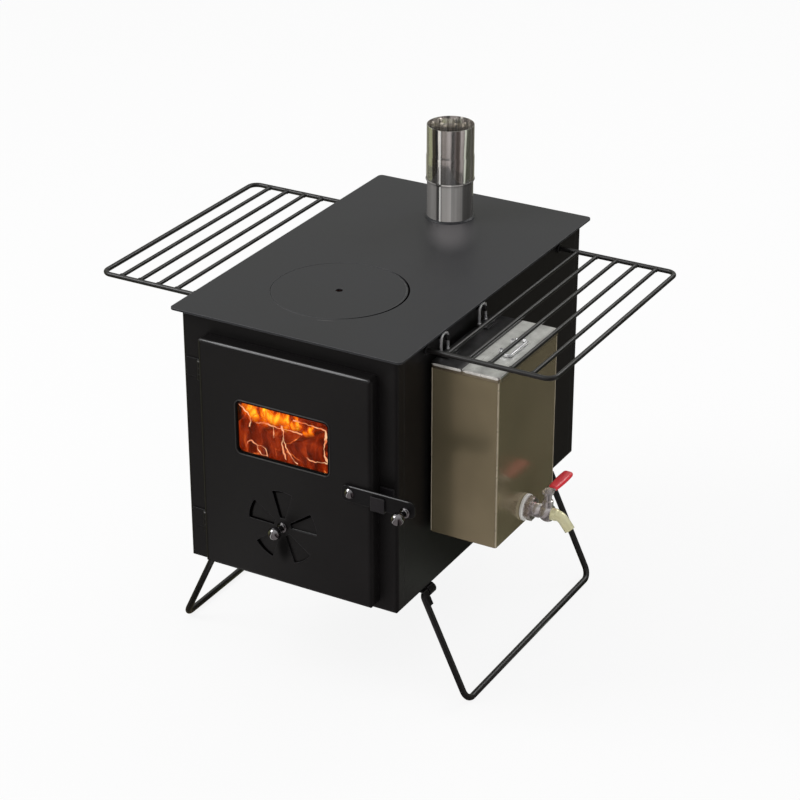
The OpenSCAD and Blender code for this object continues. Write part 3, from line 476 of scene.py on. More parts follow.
# The lock seams are real; their near-white colour is partly a painted highlight.
seam_highlight_steel = bright_steel("rolled seam highlight", (1.0, 0.99, 0.96), (0.94, 0.93, 0.9), 0.3, (60, 60, 20), bare=0.12)
flange, bead_low, bead_top, pipe_top, spigot_top, foot_top = 332, 383.5, 386.5, 457.5, 414.5, 416.5
lower = turned([(28.6, flange - 1.5), (37.6, flange - 1.5), (37.6, flange), (29.4, flange), (29.4, bead_low),
                (30.1, bead_low + 0.4), (30.9, bead_low + 1.2), (31.2, bead_low + 2), (31, bead_top - 0.3),
                (30.5, bead_top), (29.4, bead_top + 0.1), (29.4, spigot_top - 0.7), (29.2, spigot_top - 0.1),
                (28.8, spigot_top), (28.6, spigot_top - 0.3)], flue_foot, upwards, 128, loop=True)
weld = turned([(29.3, 334.4), (32.2, 334.4), (31.9, 335.3), (30.9, 336.1), (29.9, 336.7), (29.3, 337.0)],
              flue_foot, upwards, 128, loop=True)
ripple = [v + (v - flue_foot).normalized() * 0.0002 * noise.noise(v * 420) for v in weld[0]]
made("flue_spigot_tube", *joined(lower), foot_steel, "stove", "stainless", ["flue_spigot"])
made("flue_weld", ripple, weld[1], lid_paint, "stove", "black_paint")

upper = turned([(29.75, bead_top + 0.3), (30.5, bead_top + 0.3), (30.5, foot_top), (30.3, foot_top + 1),
                (30.1, foot_top + 2.4), (30, foot_top + 3.2), (30, pipe_top - 0.2), (29.9, pipe_top),
                (29.3, pipe_top), (29.2, pipe_top - 0.2), (29.2, foot_top + 3), (29.75, foot_top)],
               flue_foot, upwards, 128, loop=True)
made("flue_pipe_tube", *upper, pipe_steel, "flue_pipe", "stainless", ["flue_pipe"])
seam_at = math.radians(-87)


def lock_seam(stations, name, body):
    """The folded seam of a rolled pipe: a low rounded ridge up one side."""
    verts, across = [], 8
    for r, h in stations:
        for k in range(across + 1):
            t = k / across * math.pi
            side, lift = 1.35 * math.cos(t), 0.75 * math.sin(t) - 0.15
            a = seam_at + side / r
            verts.append(flue_foot + Vector((math.cos(a) * (r + lift), math.sin(a) * (r + lift), h)) / 1000)
    wide = across + 1
    faces = [[b, a, d, c] for a, b, c, d in skin(len(stations), wide)]
    faces += [list(range(wide)), [(len(stations) - 1) * wide + k for k in range(across, -1, -1)]]
    made(name, verts, faces, seam_highlight_steel, body, "stainless", crease=60)


lock_seam([(29.4, 336.8), (29.4, bead_low - 0.1)], "spigot_lock_seam", "stove")
lock_seam([(30.5, bead_top + 0.4), (30.5, foot_top), (30, foot_top + 3.2), (30, pipe_top - 0.3)], "flue_lock_seam",
          "flue_pipe")


# ---- Door ----
# A folded tray of 2 mm steel on two pin hinges. A channel welded round its back
# holds a braided rope that closes on the frame.

def rounded(points, bend, steps=8, loop=False):
    """The path with each corner turned on a radius; bend is one radius or one for each point."""
    count = len(points)
    bends = bend if isinstance(bend, (list, tuple)) else [bend] * count
    path = []
    for i, p in enumerate(points):
        if not loop and i in (0, count - 1) or bends[i] == 0:
            path.append(p)
            continue
        a = (points[i - 1] - p).normalized()
        b = (points[(i + 1) % count] - p).normalized()
        half = math.acos(max(-1, min(1, a.dot(b)))) / 2
        back = bends[i] / math.tan(half)
        centre = p + (a + b).normalized() * bends[i] / math.sin(half)
        first, last = p + a * back - centre, p + b * back - centre
        turn = first.angle(last)
        axis = first.cross(last).normalized()
        path += [centre + Matrix.Rotation(turn * k / steps, 3, axis) @ first for k in range(steps + 1)]
    return path


def wire(path, radius, sides=16, loop=False, ends=True):
    """Verts and faces of a round rod along a path, radius in millimetres."""
    count = len(path)
    ways = []
    for i in range(count):
        before = path[i - 1] if loop or i else path[i]
        after = path[(i + 1) % count] if loop or i < count - 1 else path[i]
        ways.append((after - before).normalized())
    side = ways[0].orthogonal().normalized()
    verts = []
    for i, (p, way) in enumerate(zip(path, ways)):
        side = (side - way * side.dot(way)).normalized()
        other = way.cross(side)
        r = radius(i / count) if callable(radius) else radius
        for k in range(sides):
            a = k * math.tau / sides
            verts.append(p + (side * math.cos(a) + other * math.sin(a)) * r / 1000)
    faces = skin(count, sides, loop)
    if not loop and ends:
        faces.append(list(range(sides))[::-1])
        faces.append([(count - 1) * sides + k for k in range(sides)])
    return verts, faces


def rope_look():
    """Pale glass fibre, hairy and smoked."""
    fibre, tree = material("braided glass rope")
    where = put(tree, "TexCoord").outputs["Object"]
    hairs = mottle(tree, where, 1400.0, 3.0)
    soot = mottle(tree, where, 28.0, 5.0)
    patch = span(tree, soot, 0.35, 0.7)
    tone = mixed(tree, patch, (0.42, 0.4, 0.36, 1), (0.12, 0.11, 0.1, 1))
    bump = put(tree, "Bump", {"Strength": 0.6, "Distance": 0.0004, "Height": hairs})
    surface(tree, {"Base Color": tone, "Roughness": 0.9, "Sheen Weight": 0.3, "Normal": bump})
    return fibre


rope = rope_look()
low, high = (Vector(corner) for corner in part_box("door_seal"))
seal_r, strand_r = 3.5, 1.62
mid_y = (low.y + high.y) / 2
inset = seal_r / 1000
ring = rounded([Vector((low.x + inset, mid_y, low.z + inset)), Vector((high.x - inset, mid_y, low.z + inset)),
                Vector((high.x - inset, mid_y, high.z - inset)), Vector((low.x + inset, mid_y, high.z - inset))],
               0.0085, 8, loop=True)
fine = []
for a, b in zip(ring, ring[1:] + ring[:1]):
    cuts = max(1, round((b - a).length / 0.0014))
    fine += [a.lerp(b, k / cuts) for k in range(cuts)]
strands = []
for strand in range(4):
    twist = []
    for i, p in enumerate(fine):
        way = (fine[(i + 1) % len(fine)] - fine[i - 1]).normalized()
        out = Vector((0, 1, 0))
        other = way.cross(out)
        a = math.tau * (strand / 4 + 84 * i / len(fine))
        twist.append(p + (out * math.cos(a) + other * math.sin(a)) * (seal_r - strand_r) / 1000)
    strands.append(wire(twist, strand_r, 7, loop=True))
made("door_rope_seal", *joined(*strands), rope, "door", "rope", ["door_seal"], crease=180)

door_front, damper_z = -255.8, 88
# A near-black oval below the damper knob is a painted shadow of the knob.
painted_knob_shadow = (at(1.5, door_front, 62), 0, (0.0125, 0.01, 0.027), (0.0008, 0.0006, 0.0006), 0.5)
door_paint = stove_paint("satin black door paint", black, rubbed, 0.4, 0.22, painted_oval=painted_knob_shadow)
finish_node("door_panel", door_paint)
slot_in, slot_out = 12.2, 46.9


def along_side(degrees, way, near, far):
    """A strip on one straight side of an air slot, that many millimetres wide at its two ends."""
    a = math.radians(degrees)
    out, inward = Vector((math.cos(a), math.sin(a))), Vector((-math.sin(a), math.cos(a))) * way
    return [out * slot_in, out * slot_out, out * slot_out + inward * far, out * slot_in + inward * near]


def along_arc(first, last, near, far):
    """A strip on the round end of an air slot."""
    turns = [first + (last - first) * k / 10 for k in range(11)]
    ring = [Vector((math.cos(math.radians(d)), math.sin(math.radians(d)))) for d in turns]
    inner = [v * (slot_out - near - (far - near) * k / 10) for k, v in enumerate(ring)]
    return [v * slot_out for v in ring] + inner[::-1]


def in_the_sheet(outline):
    """The strip as a thin slab inside the thickness of the door sheet."""
    count = len(outline)
    verts = [at(v.x, y, damper_z + v.y) for y in (-254.5, -253.85) for v in outline]
    faces = [list(range(count)), list(range(2 * count - 1, count - 1, -1))]
    faces += [[k, k + count, (k + 1) % count + count, (k + 1) % count] for k in range(count)]
    return verts, faces


# The strips listed as sooted are painted shadow along the air slots' upper and outer sides; the lighter strip on one
# lower side is a painted highlight.
sooted = [along_side(107, -1, 1.6, 2.5), along_arc(106.9, 80, 3.2, 0.3), along_arc(146, 178.9, 2.6, 3.0),
          along_side(179, -1, 0.6, 1.4), along_side(35, -1, 2.4, 3.5), along_arc(218, 250, 3.3, 1.2)]
made("slot_painted_shadow", *joined(*[in_the_sheet(strip) for strip in sooted]), shade_black, "door", crease=30)
made("slot_painted_highlight", *in_the_sheet(along_side(1, 1, 0.5, 0.7)), painted_glint, "door", crease=30)

# A lighter grey line along the door's top fold is a painted highlight.
highlight_paint = stove_paint("painted fold highlight", (0.17, 0.17, 0.175), (0.4, 0.4, 0.41), 0.3, 0.6, width=0.0006)
door_low, door_high = (Vector(corner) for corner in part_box("door_panel"))
fold = [Vector((door_low.x + 0.004, door_low.y + 0.0011, door_high.z - 0.0011)),
        Vector((door_high.x - 0.004, door_low.y + 0.0011, door_high.z - 0.0011))]
fold = [fold[0].lerp(fold[1], k / 60) for k in range(61)]


def tapered(path, radius, fade, tip, sides):
    """A round line that thins out at both ends, down to this share of its radius."""
    return wire(path, lambda t: radius * min(1, fade * t + tip, fade * (1 - t) + tip), sides)


made("door_top_fold_highlight", *tapered(fold, 1.35, 6, 0.3, 16), highlight_paint, "door", "black_paint", crease=180)

zinc = bright_steel("zinc plated steel", (0.5, 0.5, 0.51), (0.36, 0.36, 0.38), 0.34, (300, 300, 300), blotch=60,
                    bevel=0.0004)
for name in ("hinge_pins", "retainer_screws", "latch_washer", "latch_nut", "damper_nut"):
    finish_node(name, zinc)


# ---- Window and fire ----
# A plate of heat-proof glass behind a rounded opening with a pressed rim. Split
# logs burn on the grate behind it, and their flames lean to the flue.

def glass_look():
    """Clear glass, a little yellow, with a haze of smoke."""
    glass, tree = material("heat-proof glass")
    where = put(tree, "TexCoord").outputs["Object"]
    haze = mottle(tree, where, 22.0, 5.0)
    smoke = span(tree, haze, 0.4, 0.75, 0.0, 0.03)
    surface(tree, {"Base Color": (0.98, 0.86, 0.7, 1), "IOR": 1.12, "Roughness": smoke,
                   "Transmission Weight": 1.0, "Specular IOR Level": 0.3})
    return glass


finish_node("door_glass", glass_look())
win_w, win_h, win_r = 127, 69, 7
win_mid = at(2, door_front, 206.5)
# The pressed rim is real; its lighter paint is a painted highlight along its edge.
rim_highlight_paint = stove_paint("window rim highlight paint", (0.03, 0.029, 0.028), (0.16, 0.15, 0.14), 0.33, 0.5, width=0.0006)


def round_window(middle, out):
    """A path round the window, that many millimetres outside its edge."""
    corners = [Vector((sx * (win_w / 2 + out), 0, sz * (win_h / 2 + out))) / 1000
               for sx, sz in ((-1, -1), (1, -1), (1, 1), (-1, 1))]
    return rounded([middle + c for c in corners], (win_r + out) / 1000, 8, loop=True)


made("window_rim", *wire(round_window(win_mid, 0.6), 0.75, 12, loop=True), rim_highlight_paint, "door", "black_paint",
     crease=180)
cord_mid = at(2, -254.95, 206.5)
seal_black = stove_paint("graphite cord", (0.004, 0.004, 0.004), (0.01, 0.01, 0.01), 0.9, 0.1, peel=2600, cloud=60)
made("window_cord", *wire(round_window(cord_mid, -1.15), 1.12, 10, loop=True), seal_black, "door", "black_paint",
     crease=180)


def ember_look(name, bark, glow, strength, size, amount, width):
    """Charred wood: dark, cracked, with fire in the cracks."""
    coal, tree = material(name)
    where = put(tree, "TexCoord").outputs["Object"]
    bent = mottle(tree, where, 30.0, 3.0)
    shift = put(tree, "VectorMath", {0: bent.outputs["Color"], "Scale": 0.03}, operation="SCALE")
    moved = put(tree, "VectorMath", {0: where, 1: shift}, operation="ADD")
    long = put(tree, "VectorMath", {0: moved, 1: (1.0, 0.3, 1.0)}, operation="MULTIPLY")
    cracks = put(tree, "TexVoronoi", {"Vector": long, "Scale": size}, feature="DISTANCE_TO_EDGE")
    clouds = mottle(tree, where, 15.0, 5.0, Roughness=0.65)
    gap = span(tree, cracks, 0.0, width, 1.0, 0.0)
    hot = span(tree, clouds, 0.66 - amount, 0.84 - amount)
    line = sums(tree, "MULTIPLY", gap, hot)
    drawn = put(tree, "VectorMath", {0: moved, 1: (110.0, 40.0, 30.0)}, operation="MULTIPLY")
    streak = mottle(tree, drawn, 1.0, 4.0)
    soft = span(tree, streak, 0.36, 0.68, 0.1, 0.46)
    heat = sums(tree, "ADD", line, soft, use_clamp=True)
    fire = tones(tree, heat, [(0.0, (0.012, 0.001, 0.0)), (0.12, (0.07, 0.004, 0.0)), (0.26, (0.17, 0.011, 0.001)),
                              (0.42, (0.34, 0.035, 0.004)), (0.66, glow), (1.0, (1.0, 0.62, 0.3))])
    bump = put(tree, "Bump", {"Strength": 0.8, "Distance": 0.002, "Height": cracks})
    surface(tree, {"Base Color": (*bark, 1), "Roughness": 0.85, "Emission Color": fire,
                   "Emission Strength": strength, "Normal": bump})
    return coal


char = ember_look("charred log", (0.022, 0.006, 0.003), (0.95, 0.26, 0.06), 1.0, 30, 0.15, 0.03)
coals = ember_look("glowing coals", (0.05, 0.03, 0.02), (1.0, 0.24, 0.02), 2.0, 60, 0.3, 0.12)


def log(start, end, radius, seed):
    """A split log: a wavy, slightly flattened round with a ragged bark."""
    path = [start.lerp(end, k / 24) for k in range(25)]
    path = [p + Vector((noise.noise(p * 9 + Vector((seed, 0, 0))), 0,
                        noise.noise(p * 9 + Vector((0, seed, 0))))) * 0.006 for p in path]
    verts, faces = wire(path, lambda t: radius * (0.93 + 0.07 * math.sin(9 * t + seed)), 40)
    out = []
    for i, v in enumerate(verts):
        p = path[i // 40]
        swell = 1 + 0.16 * noise.noise(v * 34 + Vector((seed, seed, 0))) + 0.05 * noise.noise(v * 120)
        out.append(p + (v - p) * swell)
    return out, faces


logs = [log(at(-82, -150, 80), at(-70, 150, 78), 33, 1.0), log(at(-8, -165, 79), at(-14, 140, 79), 34, 2.3),
        log(at(66, -150, 78), at(72, 160, 79), 32, 3.9), log(at(-72, -204, 150), at(-62, 110, 148), 44, 5.1),
        log(at(8, -208, 146), at(14, 120, 146), 33, 7.7)]
made("fire_logs", *joined(*logs), char, "stove", crease=60)


def sheet_faces(columns, rows):
    """Faces of a sheet of verts laid row after row."""
    starts = [j * columns + i for j in range(rows - 1) for i in range(columns - 1)]
    return [[k, k + 1, k + columns + 1, k + columns] for k in starts]


bed_w, bed_d, step, slope_w = 250, 380, 5, 18
columns, rows = bed_w // step + 1, bed_d // step + 1
bed = []
for j in range(rows):
    for i in range(columns):
        x, y = -bed_w / 2 + i * step, -bed_d / 2 + j * step
        fade = min(1, (bed_w / 2 - abs(x)) / slope_w, (bed_d / 2 - abs(y)) / slope_w)
        lump = noise.noise(Vector((x, y, 0)) / 17) + 0.6 * noise.noise(Vector((x, y, 9)) / 8)
        bed.append(at(x, y, 42.4 + fade * (11 + 7 * lump)))
cells = sheet_faces(columns, rows)
under = len(bed)
bed += [Vector((v.x, v.y, at(0, 0, 42.2).z)) for v in bed]
cells += [[a + under for a in reversed(face)] for face in cells]
edge = ([(i, i + 1) for i in range(columns - 1)]
        + [((rows - 1) * columns + i + 1, (rows - 1) * columns + i) for i in range(columns - 1)]
        + [((j + 1) * columns, j * columns) for j in range(rows - 1)]
        + [(j * columns + columns - 1, (j + 1) * columns + columns - 1) for j in range(rows - 1)])
cells += [[a, a + under, b + under, b] for a, b in edge]
made("fire_coals", bed, cells, coals, "stove", crease=60)


def flame_look():
    """Fire that is ragged at its edges, red where it is thin and yellow where it is thick."""
    flame, tree = material("flames")
    where = put(tree, "TexCoord")
    place = put(tree, "SeparateXYZ", {0: where.outputs["UV"]})
    drawn = put(tree, "VectorMath", {0: where.outputs["Object"], 1: (1.0, 1.0, 0.42)}, operation="MULTIPLY")
    lick = mottle(tree, drawn, 46.0, 4.0, Distortion=2.2)
    up = sums(tree, "MULTIPLY", place.outputs["Y"], -0.62)
    side = sums(tree, "SUBTRACT", place.outputs["X"], 0.5)
    side = sums(tree, "ABSOLUTE", side)
    side = sums(tree, "MULTIPLY", side, -0.75)
    body = sums(tree, "ADD", up, side)
    heat = sums(tree, "ADD", lick, body)
    wisp = span(tree, heat, 0.06, 0.3)
    foot = span(tree, place.outputs["Y"], 0.0, 0.3, smooth=True)
    glow = sums(tree, "MULTIPLY_ADD", foot, 0.26, heat)
    fire = tones(tree, glow, [(0.3, (0.25, 0.01, 0.0)), (0.41, (0.7, 0.07, 0.002)), (0.53, (1.0, 0.28, 0.01)),
                              (0.65, (1.0, 0.58, 0.03)), (0.78, (0.98, 0.86, 0.04))])
    veil = sums(tree, "MULTIPLY", wisp, foot)
    surface(tree, {"Base Color": (0.02, 0.005, 0.0, 1), "Roughness": 1.0, "Specular IOR Level": 0.0,
                   "Emission Color": fire, "Emission Strength": 1.3, "Alpha": veil})
    return flame


def flame(foot, wide, high, turn, lean, seed):
    """One tongue: a curved leaf of verts with its own place across and up in a UV map."""
    verts, places, across, up = [], [], 10, 26
    for j in range(up + 1):
        t = j / up
        half = wide / 2 * (math.sin(math.pi * min(1, 0.25 + 0.75 * t)) ** 0.8) * (1 - 0.35 * t)
        for i in range(across + 1):
            s = 2 * i / across - 1
            sway = 14 * noise.noise(Vector((seed, t * 2.2, 0))) * t
            depth = 9 * (1 - s * s) + 8 * noise.noise(Vector((seed, t * 3, s)))
            x, y = s * half + sway, depth + lean * t * t
            c, n = math.cos(turn), math.sin(turn)
            verts.append(foot + Vector((x * c - y * n, x * n + y * c, high * t)) / 1000)
            places.append((i / across, t))
    return verts, sheet_faces(across + 1, up + 1), places


tongues = [(-72, -212, 187, 44, 62, 0.5, 14), (-50, -210, 184, 46, 66, 0.55, 12), (-28, -208, 184, 44, 60, 0.5, 10),
           (-8, -206, 183, 36, 48, 0.5, 8), (-60, -214, 186, 46, 60, 0.4, 8), (-38, -213, 184, 44, 58, 0.6, 8),
           (-18, -211, 183, 36, 52, 0.5, 8), (-76, -188, 192, 60, 80, 0.5, 12), (10, -205, 183, 24, 34, 0.5, 6),
           (38, -208, 120, 20, 104, 0.5, 3), (-72, -60, 180, 80, 110, 0.6, 40), (0, -70, 176, 76, 115, 0.5, 44),
           (52, -60, 122, 70, 150, 0.4, 40), (-108, -30, 96, 60, 150, 0.7, 30), (-40, 10, 180, 84, 125, 0.5, 46)]
leaves = [flame(at(x, y, z), *rest, 3.7 * k + 1) for k, (x, y, z, *rest) in enumerate(tongues)]
flame_verts, flame_faces = joined(*[(verts, faces) for verts, faces, places in leaves])
flame_places = [place for verts, faces, places in leaves for place in places]
flame_mesh = bpy.data.meshes.new("fire_flames")
flame_mesh.from_pydata(flame_verts, [], flame_faces)
uv = flame_mesh.uv_layers.new(name="across and up")
for joint in flame_mesh.loops:
    uv.data[joint.index].uv = flame_places[joint.vertex_index]
flame_mesh.materials.append(flame_look())
flame_mesh.polygons.foreach_set("use_smooth", [True] * len(flame_mesh.polygons))
flames = stood("fire_flames", flame_mesh)
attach(flames, "stove")


def behind_glass(across, up, y):
    """The place inside the stove that is seen through the window at that many millimetres from its middle."""
    near = win_mid + Vector((across, 0, up)) / 1000
    sight = near - eye.location
    return eye.location + sight * ((at(0, y, 0).y - eye.location.y) / sight.y)


def white_hot():
    """Split wood burning along its edge, pale in the middle and red where it cools."""
    hot, tree = material("burning edge")
    where = put(tree, "TexCoord").outputs["Object"]
    flicker = mottle(tree, where, 90.0, 3.0)
    fire = tones(tree, flicker, [(0.3, (0.8, 0.13, 0.02)), (0.66, (1.0, 0.68, 0.46))])
    surface(tree, {"Base Color": (0.02, 0.005, 0.0, 1), "Roughness": 1.0, "Emission Color": fire,
                   "Emission Strength": 1.0})
    return hot


# noise_vector takes its offsets from the clock unless they are seeded here.
noise.seed_set(5)
edge_y = -216
burning_edges = [
    (1.1, [(0, 16), (2, 10), (3, 3), (0.5, -6), (1.5, -14), (4, -22), (5, -27)]),
    (0.7, [(3, 1), (6, -11), (12, -20), (17, -26), (21, -28)]),
    (0.5, [(-11, 12), (-10, 4), (-10.5, -2)]),
    (0.7, [(-50, -23), (-47, -16), (-42, -13), (-37.5, -15), (-34, -17.5), (-27, -17), (-22, -20), (-20, -28)]),
    (0.6, [(-34, -17.5), (-32, -24), (-29, -28), (-20, -28.5)]),
    (0.8, [(-58, 30), (-52, 26), (-46, 22), (-42, 17), (-42, 10), (-44, 5)]),
    (0.8, [(-34, 12), (-24, 14), (-14, 13.5), (-3, 12), (8, 13), (18, 13), (28, 12)]),
    (0.7, [(34, -17), (40, -19), (51, -18.5), (62, -17)]),
    (1.7, [(59, 25), (60.5, 17), (59, 8), (57, 0), (58, -9), (62, -15)]),
    (0.9, [(16, 28), (30, 27), (44, 26), (59, 25)])]
edges = []
for k, (thick, trail) in enumerate(burning_edges):
    path = [behind_glass(a, b, edge_y) for a, b in trail]
    fine = [path[0]]
    for a, b in zip(path, path[1:]):
        fine += [a.lerp(b, t / 8) for t in range(1, 9)]
    fine = [p + noise.noise_vector(p * 260 + Vector((k, 0, 0))) * 0.0012 for p in fine]
    edges.append(wire(fine, lambda t, thick=thick: thick * (0.46 + 0.38 * math.sin(9 * t + thick * 7)) + 0.15, 8))
made("fire_edges", *joined(*edges), white_hot(), "stove", crease=180)

grate_iron = stove_paint("sooted cast iron", (0.035, 0.032, 0.03), (0.1, 0.09, 0.08), 0.75, 0.3, peel=420, cloud=20)
finish_node("fire_grate", grate_iron)


# ---- Knobs and damper ----
# Chromed steel balls turned in one with their stems and flat feet. One turns the
# slotted disc behind the door's air slots, the other is the grip of the latch.

chrome = bright_steel("polished chrome", (0.36, 0.35, 0.36), (0.27, 0.26, 0.27), 0.08, (60, 60, 60), blotch=30,
                      spread=0.03, lines=0.03)


def ball_arc(radius, middle, degrees):
    """Points of a ball's outline, for turning: its middle at this height, seen at these angles."""
    return [(radius * math.cos(a), middle + radius * math.sin(a)) for a in map(math.radians, degrees)]


def ball_knob_profile(shaft, shaft_r):
    """A ball on a waisted stem and a flat foot, with a shaft behind it."""
    ball = ball_arc(8, 18, range(-56, 90, 6))
    foot = [(6.5, 0.0), (6.5, 1.9), (6.2, 2.4), (5.6, 2.6), (4.6, 2.9), (4.1, 3.6), (4.0, 5.0), (4.0, 10.6),
            (4.25, 11.1)]
    return [(0, -shaft), (shaft_r, -shaft), (shaft_r, 0.0)] + foot + ball + [(0, 26)]


knob = turned(ball_knob_profile(7.9, 3), at(0, door_front, damper_z), frontwards, 96)
made("damper_ball_knob", *knob, chrome, "damper", "chrome", ["damper_knob"])


# ---- Latch ----
# A flat steel bar that turns on a domed bolt and drops behind the keeper on the
# frame, with a chromed ball at its free end.

bar_paint = stove_paint("latch bar paint", (0.006, 0.0055, 0.006), (0.07, 0.07, 0.07), 0.42, 0.2, width=0.0008)
finish_node("latch_bar", bar_paint)
bar_y, bar_top = -259.3, 169.1
# A lighter line along the bar's top edge is a painted highlight.
top_edge = [at(88, bar_y, bar_top).lerp(at(176, bar_y, bar_top), k / 40) for k in range(41)]
made("latch_top_edge_highlight", *tapered(top_edge, 0.62, 8, 0.3, 12), highlight_paint, "latch", "black_paint", crease=180)
# The keeper's black is set lighter than the bar's: painted light on its lit face.
keeper_lit_paint = stove_paint("keeper lit paint", (0.0135, 0.0115, 0.0135), (0.05, 0.05, 0.05), 0.42, 0.3)
finish_node("latch_keeper", keeper_lit_paint)

grip = turned(ball_knob_profile(3, 2.95), at(168, -259.8, 155.5), frontwards, 96)
made("latch_ball_knob", *grip, chrome, "latch", "chrome", ["latch_knob"])

dome_r = (6.5 ** 2 + 4 ** 2) / 8
dome = [(r, h) for r, h in ball_arc(dome_r, 4 - dome_r, range(28, 90, 5)) if r < 6.3]
bolt = [(0, -9.5), (3.6, -9.5), (4.0, -9.1), (4.0, 0.0), (6.3, 0.0), (6.5, 0.3)] + dome + [(0, 4)]
made("latch_dome_bolt", *turned(bolt, at(94, -260.1, 159.5), frontwards, 64), chrome, "door", "chrome",
     ["latch_bolt"])


# ---- Side racks ----
# A 6 mm rod bent to three sides, with five 5 mm bars welded across and a small
# bead of weld where each bar lands on the rod. Dipped in the same black.

rod_paint = stove_paint("dipped rod paint", (0.009, 0.0085, 0.008), (0.05, 0.05, 0.05), 0.36, 0.6, peel=700,
                        cloud=24, width=0.0005)


def bars_tree():
    """Round bars side by side, with a bead of weld at both ends of each."""
    tree, start = new_group("welded bars", {
        "Geometry": "Geometry", "Bars": "Int", "First": "Vector", "Pitch": "Float", "Length": "Float",
        "Radius": "Float", "Finish": "Material"}, {"Geometry": "Geometry"}, "Geometry")
    step = put(tree, "CombineXYZ", {"X": start.outputs["Pitch"]})
    places = put(tree, "GeometryNodeMeshLine", {"Count": start.outputs["Bars"], "Offset": step,
                                                "Start Location": start.outputs["First"]}, mode="OFFSET")
    reach = put(tree, "CombineXYZ", {"Y": start.outputs["Length"]})
    line = put(tree, "GeometryNodeCurvePrimitiveLine", {"Start": (0, 0, 0), "End": reach})
    ring = put(tree, "GeometryNodeCurvePrimitiveCircle", {"Resolution": 20, "Radius": start.outputs["Radius"]})
    bar = put(tree, "GeometryNodeCurveToMesh", {"Curve": line, "Profile Curve": ring, "Fill Caps": True})
    bars = put(tree, "GeometryNodeInstanceOnPoints", {"Points": places, "Instance": bar})
    size = sums(tree, "MULTIPLY", start.outputs["Radius"], 1.42)
    drop = put(tree, "GeometryNodeMeshIcoSphere", {"Radius": size, "Subdivisions": 3})
    spot = put(tree, "GeometryNodeInputPosition")
    rough = mottle(tree, spot, 700.0)
    lift = span(tree, rough, 0.0, 1.0, -0.0004, 0.0004)
    normal = put(tree, "GeometryNodeInputNormal")
    push = put(tree, "VectorMath", {0: normal, "Scale": lift}, operation="SCALE")
    squash = put(tree, "GeometryNodeSetPosition", {"Geometry": drop, "Offset": push})
    ends = []
    for sign in (0, 1):
        inward = sums(tree, "MULTIPLY", start.outputs["Length"], sign)
        nudge = sums(tree, "ADD", inward, 0.0034 - 0.0068 * sign)
        move = put(tree, "CombineXYZ", {"Y": nudge})
        moved = put(tree, "GeometryNodeSetPosition", {"Geometry": places, "Offset": move})
        bead = put(tree, "GeometryNodeInstanceOnPoints", {"Points": moved, "Instance": squash,
                                                          "Scale": (1.0, 0.8, 0.92)})
        ends.append(bead.outputs[0])
    every = put(tree, "GeometryNodeJoinGeometry")
    for socket in [bars.outputs[0]] + ends:
        tree.links.new(socket, every.inputs[0])
    real = put(tree, "GeometryNodeRealizeInstances", {0: every})
    smooth = put(tree, "GeometryNodeSetShadeSmooth", {0: real})
    painted = put(tree, "GeometryNodeSetMaterial", {"Geometry": smooth, "Material": start.outputs["Finish"]})
    put(tree, "NodeGroupOutput", {"Geometry": painted})
    return tree


welded_bars = bars_tree()


def grown(name, tree, values, body):
    """A plain mesh made by a Geometry Nodes tree with these named inputs."""
    holder = stood(name + "_source", bpy.data.meshes.new(name + "_source"))
    modifier = holder.modifiers.new("made", "NODES")
    modifier.node_group = tree
    for item in tree.interface.items_tree:
        if item.in_out == "INPUT" and item.name in values:
            modifier[item.identifier] = values[item.name]
    holder.update_tag()
    bpy.context.view_layer.update()
    seen = holder.evaluated_get(bpy.context.evaluated_depsgraph_get())
    mesh = bpy.data.meshes.new_from_object(seen)
    holder.modifiers.remove(modifier)
    bpy.data.objects.remove(holder)
    mesh.name = name
    fitted(mesh, 50, body)


rack_in, rack_out, rack_side, rack_z = 110, 306, 171.5, 318
bars, nearest = 5, 145
pitch = (rack_out - nearest) / (bars + 1)
for side in (1, -1):
    body = "rack_right" if side > 0 else "rack_left"
    outline = rounded([at(side * rack_in, -rack_side, rack_z), at(side * rack_out, -rack_side, rack_z),
                       at(side * rack_out, rack_side, rack_z), at(side * rack_in, rack_side, rack_z)], 0.012, 12)
    made(body + "_rod", *wire(outline, 3, 24), rod_paint, body, "black_paint", [body])
    first = at((nearest if side > 0 else -rack_out) + pitch, -rack_side, rack_z)
    sizes = {"Bars": bars, "First": first, "Pitch": pitch / 1000, "Length": 2 * rack_side / 1000,
             "Radius": 0.0025, "Finish": rod_paint}
    grown(body + "_bars", welded_bars, sizes, body)


# ---- Legs ----
# An 8 mm rod bent to a wide U. Its ends turn in and pivot in lugs welded under
# the box, and tabs stop the legs where they splay.

splay, drop, lug_x, lug_z, pin_y, turned_in = 62, 132, 143, -7, 171.5, 24
leg_run, slope = math.hypot(splay, drop), math.atan(splay / drop)
foot = Vector((math.sin(slope), 0, -math.cos(slope))) * leg_run
corners = [(0, turned_in - pin_y), (0, -pin_y), (1, -pin_y), (1, pin_y), (0, pin_y), (0, pin_y - turned_in)]
for side in (1, -1):
    body = "leg_right" if side > 0 else "leg_left"
    outline = rounded([at(side * (lug_x + f * foot.x), y, lug_z + f * foot.z) for f, y in corners],
                      [0, 0.006, 0.014, 0.014, 0.006, 0], 12)
    made(body + "_rod", *wire(outline, 4, 28), rod_paint, body, "black_paint", [body])


# ---- Water tank ----
# A thin stainless box, seamed up its corners, that hangs by two wire loops on
# slanted pegs. Half of its top is a fixed cover, half a loose lid with a handle.

